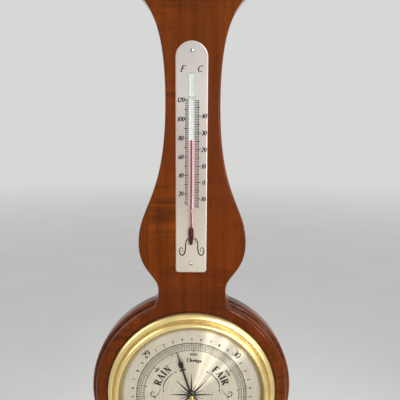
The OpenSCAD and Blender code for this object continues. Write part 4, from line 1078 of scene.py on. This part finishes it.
@finish
def silvered_plate(nodes):
    """The thermometer's plate: pale silvering rubbed along its length, with painted sheen that makes it
    darker at its middle and its head and lighter and yellower at its foot, and a polished bevel round its
    edge with a painted pinkish highlight."""
    tone = chosen("plate")
    grain = nodes.noise((900, 900, 20), detail=3, rough=0.6)
    base = nodes.clouded(tone, 0.92, 1.05, nodes.noise((40, 40, 14), detail=4, rough=0.6))
    base = nodes.mixed(base, nodes.ramp(grain, (0.3, 0.85), (0.7, 1.08)), 0.2)
    up = nodes.up()
    # Painted sheen along the plate: lighter and yellower at the foot, darker at the head and at the middle
    foot, head = (124, 20, 110, (1.13, 1.09, 0.98)), (350, 30, 45, (0.90, 0.905, 0.91))
    wear_and_sheen = (225, 22, 62, (0.80, 0.76, 0.75))
    for middle, half, soft, painted_cast in (foot, head, wear_and_sheen):
        base = nodes.mixed(base, painted_cast, nodes.band(up, middle - DIAL_DROP, half, soft))
    bevel = nodes.band(nodes.off_wall(), 22.86, 0.31, 0.025)
    # Painted highlight: the bevel takes a lighter pinkish colour; its lower roughness is real polish
    base = nodes.mixed(base, (0.60, 0.49, 0.42), bevel, "MIX")
    rough = nodes.math("ADD", nodes.scaled(grain, 0.36, 0.5), nodes.scaled(bevel, 0.0, -0.1))
    nodes.surface(base, rough, Normal=nodes.bump(grain, 0.04), Metallic=0.45)


@finish
def printed_ink(nodes):
    """Black wax ink, a little thin in places."""
    tone = chosen("ink")
    wear_and_sheen = nodes.noise(300)
    base = nodes.ramp(wear_and_sheen, (0.35, tone), (0.75, shade(tone, 2.2)))
    nodes.surface(base, nodes.scaled(wear_and_sheen, 0.45, 0.6), Specular_IOR_Level=0.2)


@finish
def clear_glass(nodes):
    """Thin glass: what is behind it shows straight through, and its front reflects more towards its
    edge."""
    tone = nodes.clouded((0.985, 0.99, 0.985), 1.0, 1.01, nodes.noise(50))
    front = nodes.math("SUBTRACT", 1.0, nodes.put("NewGeometry", {}, "Backfacing"))
    share = nodes.math("MULTIPLY", nodes.put("Fresnel", {"IOR": 1.45}), front)
    nodes.replace_surface(nodes.put("MixShader", {
        0: share, 1: nodes.put("BsdfTransparent", {"Color": tone}),
        2: nodes.put("BsdfAnisotropic", {"Roughness": 0.02})}))


@finish
def tube_glass(nodes):
    """Solid glass that bends what is behind it, with a light shadow on the plate beside it. It is a
    little rough, so that the small lamps don't show in it as dots."""
    cloud = nodes.noise((90, 90, 30), detail=2)
    tone = nodes.ramp(cloud, (0.3, (0.97, 0.98, 0.975)), (0.7, (1.0, 1.0, 1.0)))
    nodes.replace_surface(nodes.put("MixShader", {
        0: nodes.put("LightPath", {}, "Is Shadow Ray"),
        1: nodes.put("BsdfGlass", {"Color": tone, "Roughness": 0.18, "IOR": 1.38}),
        2: nodes.put("BsdfTransparent", {"Color": (0.58, 0.60, 0.60, 1)})}))


@finish
def white_enamel(nodes):
    """The white strip behind the tube: enamel with a faint cloud, and a painted pink reflection of the red
    spirit beside the column.
    """
    cloud = nodes.noise((200, 200, 40))
    white = nodes.ramp(cloud, (0.3, (0.50, 0.54, 0.515)), (0.7, (0.54, 0.58, 0.555)))
    column = bpy.context.scene.barometer_thermometer.column - DIAL_DROP * MM
    # Painted reflection: the strip turns pink below the column's top, standing for the red spirit's light
    painted_cast = nodes.fade(nodes.up(), column, column + 0.4 * MM, "LINEAR")
    nodes.surface(nodes.mixed(white, (0.76, 0.46, 0.49), painted_cast, "MIX"), nodes.scaled(cloud, 0.25, 0.35))


@finish
def red_spirit(nodes):
    """Red spirit seen through the glass: dark in the bulb and brighter in the thin column."""
    tone = chosen("spirit")
    cloud = nodes.noise((300, 300, 60), detail=2)
    base = nodes.clouded(tone, 0.8, 1.3, cloud)
    thread = nodes.band(nodes.up(), 265 - DIAL_DROP, 95, 6)
    nodes.surface(nodes.mixed(base, (0.17, 0.006, 0.022), thread, "MIX"), nodes.scaled(cloud, 0.1, 0.2),
                  Specular_IOR_Level=0.05)


@finish
def pale_paper(nodes):
    """The floor's pale paper with a faint unevenness, which fades into the backdrop far away."""
    tone = shade(tuple(bpy.context.scene.barometer_stage.floor), 1.2)
    base = nodes.clouded(tone, 0.98, 1.02, nodes.noise(3))
    away = nodes.vector("LENGTH", nodes.vector("MULTIPLY", nodes.own(), (1, 1, 0)), output="Value")
    nodes.surface(base, 0.9, Alpha=nodes.fade(away, 2.0, 8.0))


# Each slot's own finish, or a metal's colour and its lowest and highest roughness
DRAWN = {"mahogany": mahogany, "bezel_brass": lacquered_brass, "silvered": silvered_dial,
         "plate_silvered": silvered_plate, "clear_glass": clear_glass, "tube_glass": tube_glass,
         "white_enamel": white_enamel, "red_spirit": red_spirit}
METALS = {"clock_brass": ((0.74, 0.55, 0.24), 0.22, 0.36),
          "blued_steel": ((0.036, 0.034, 0.032), 0.25, 0.4),
          "movement_steel": ((0.50, 0.51, 0.53), 0.24, 0.38),
          "spring_steel": ((0.36, 0.38, 0.43), 0.2, 0.34),
          "can_metal": ((0.60, 0.55, 0.44), 0.3, 0.46),
          "capsule_metal": ((0.66, 0.60, 0.44), 0.26, 0.4)}


def finish_for(slot):
    """The material for a slot of the record."""
    return DRAWN[slot]() if slot in DRAWN else metal(slot, *METALS[slot])


class BAROMETER_OT_finishes(bpy.types.Operator):
    """Gives each node that is shown as packed the finish of its slot"""
    bl_idname = "barometer.finishes"
    bl_label = "Finishes"

    def execute(self, context):
        slots = {part["node"]: part["material_slot"] for part in frame["record"]["subparts"]}
        for name, node in frame["nodes"].items():
            material = finish_for(slots[name])
            if not node.material_slots:
                node.data.materials.append(material)
            for held in node.material_slots:
                held.material = material
        return {"FINISHED"}


# The stage

def lamp(name, spot, aim, power, size, along, cone):
    """A soft lamp at a spot, turned towards an aim, with its first side along the given direction and its
    light kept within a cone, in degrees. It isn't seen through glass."""
    data = bpy.data.lights.new(name, "AREA")
    data.energy, data.spread = power, math.radians(cone)
    data.shape, data.size, data.size_y = "RECTANGLE", size[0], size[1]
    thing = bpy.data.objects.new(name, data)
    back = (Vector(spot) - Vector(aim)).normalized()
    side = Vector(along)
    side = (side - back * side.dot(back)).normalized()
    turn = Matrix((side, back.cross(side), back)).transposed()
    thing.matrix_world = Matrix.Translation(spot) @ turn.to_4x4()
    thing.visible_transmission = False
    bpy.context.scene.collection.objects.link(thing)


class BAROMETER_OT_stage(bpy.types.Operator):
    """Sets the pale floor and backdrop, the soft light and the camera"""
    bl_idname = "barometer.stage"
    bl_label = "Stage"

    def execute(self, context):
        scene = context.scene
        scene.view_settings.view_transform = "Standard"
        self.floor()
        self.backdrop(scene)
        self.lights(scene.barometer_stage.light)
        self.camera(scene)
        return {"FINISHED"}

    def floor(self):
        """A wide disc a metre below the hanging hole."""
        r = np.concatenate([[0.01], np.geomspace(0.05, 9, 30)])[:, None]
        sine, cosine = whole_turn(64)
        co = np.stack(np.broadcast_arrays(r * sine, r * cosine, -1.0), -1)
        skin = Skin()
        skin.grid(co, round_columns=True)
        skin.cap([co[0]])
        floor = skin.build("floor", 30)
        floor.data.materials.append(pale_paper())

    def lights(self, light):
        """A broad key from the upper right, a sheet of light at each side, and three small lamps whose
        mirror images in the dial fall where the photograph has its sheen: each stands along the camera's
        view mirrored in a half vector that leans out from the dial's axis."""
        key = bpy.data.lights.new("key", "SUN")
        key.energy, key.angle, key.color = 1.15 * light, math.radians(24), (1, 0.985, 0.96)
        sun = bpy.data.objects.new("key", key)
        sun.location = (0.45, -0.75, 0.48)
        sun.rotation_mode = "QUATERNION"
        sun.rotation_quaternion = (-sun.location).to_track_quat("-Z", "Y")
        bpy.context.scene.collection.objects.link(sun)
        for name, spot, aim, power, side in (
                ("right_sheet", (1.03, 0.05, 0.22), (0.06, -0.02, -0.33), 3.2, (0.2, 0.97, 0)),
                ("left_sheet", (-1.05, 0.05, 0.25), (-0.06, -0.02, -0.28), 3.8, (-0.2, 0.97, 0))):
            lamp(name, spot, aim, power * light, (1.4, 0.9), side, 120)
        seen, dial, far = Vector((0, -0.853, 0.522)), Vector((0, -0.03, -0.40)), 1.3
        lean = math.radians(24)
        for turn in (16.5, 30.5, 48):
            x, z = heading(turn) * math.sin(lean)
            half = Vector((x, -math.cos(lean), z))
            way = 2 * half.dot(seen) * half - seen
            lamp("dial_spot_%d" % turn, dial + way * far, dial, 1.05 * light, (0.1, 0.1), (1, 0, 0), 110)

    def backdrop(self, scene):
        """A pale surround that the camera, metal and glass see, with a plain soft fill for the rest."""
        world = scene.world = bpy.data.worlds.new("backdrop")
        world.use_nodes = True
        world.node_tree.nodes.clear()
        nodes = Nodes(world.node_tree)
        camera, shine, through = (nodes.put("LightPath", {}, "Is %s Ray" % ray)
                                  for ray in ("Camera", "Glossy", "Transmission"))
        seen = nodes.math("MAXIMUM", nodes.math("MAXIMUM", camera, shine), through)
        tone = tuple(scene.barometer_stage.floor)
        fill = nodes.put("Background", {"Color": (0.97, 0.98, 1.0, 1), "Strength": 0.42})
        pale = nodes.put("Background", {"Color": (*tone, 1), "Strength": 1.0})
        out = world.node_tree.nodes.new("ShaderNodeOutputWorld")
        nodes.join(out, {"Surface": nodes.put("MixShader", {0: seen, 1: fill, 2: pale})})

    def camera(self, scene):
        """The photograph's view, 8.7 degrees down from in front of the neck."""
        data = bpy.data.cameras.new("camera")
        data.sensor_width, data.sensor_fit, data.lens = 36.0, "AUTO", scene.barometer_stage.lens
        data.clip_start, data.clip_end = 0.01, 50
        thing = bpy.data.objects.new("camera", data)
        ahead = Vector((0.01313, 0.98838, -0.15143)).normalized()
        right = Vector((0.99989, -0.01217, 0.00721))
        right = (right - ahead * right.dot(ahead)).normalized()
        up = right.cross(ahead)
        turn = Matrix((right, up, -ahead)).transposed()
        thing.matrix_world = Matrix.Translation((0.0014, -0.4524, -0.1346)) @ turn.to_4x4()
        scene.collection.objects.link(thing)
        scene.camera = thing


class BAROMETER_PT_panel(bpy.types.Panel):
    """Lists the steps that build the barometer"""
    bl_label = "Wall Barometer"
    bl_idname = "BAROMETER_PT_panel"
    bl_space_type = "VIEW_3D"
    bl_region_type = "UI"
    bl_category = "Barometer"

    def draw(self, context):
        for step in STEPS:
            self.layout.operator(step.bl_idname, text=step.bl_label)


GROUPS = {"barometer_case": CaseSizes, "barometer_bezel": BezelSizes, "barometer_dial": DialSizes,
          "barometer_thermometer": ThermometerSizes, "barometer_finishes": Finishes,
          "barometer_stage": StageSettings}
STEPS = (BAROMETER_OT_finishes, BAROMETER_OT_case, BAROMETER_OT_bezel, BAROMETER_OT_glass,
         BAROMETER_OT_dial, BAROMETER_OT_thermometer, BAROMETER_OT_fittings, BAROMETER_OT_chain,
         BAROMETER_OT_stage)


def register():
    """Makes the settings, the steps and the panel known to Blender."""
    for group in GROUPS.values():
        bpy.utils.register_class(group)
    for step in (*STEPS, BAROMETER_PT_panel):
        bpy.utils.register_class(step)
    for name, group in GROUPS.items():
        setattr(bpy.types.Scene, name, PointerProperty(type=group))


def unregister():
    """Takes away what register made known, in the other order."""
    for name in GROUPS:
        delattr(bpy.types.Scene, name)
    for step in (BAROMETER_PT_panel, *reversed(STEPS), *GROUPS.values()):
        bpy.utils.unregister_class(step)


def main():
    register()
    bpy.ops.barometer.finishes()
    bpy.ops.barometer.case()
    bpy.ops.barometer.bezel()
    bpy.ops.barometer.glass()
    bpy.ops.barometer.dial()
    bpy.ops.barometer.thermometer()
    bpy.ops.barometer.fittings()
    bpy.ops.barometer.chain()
    bpy.ops.barometer.stage()


if __name__ == "__main__":
    main()
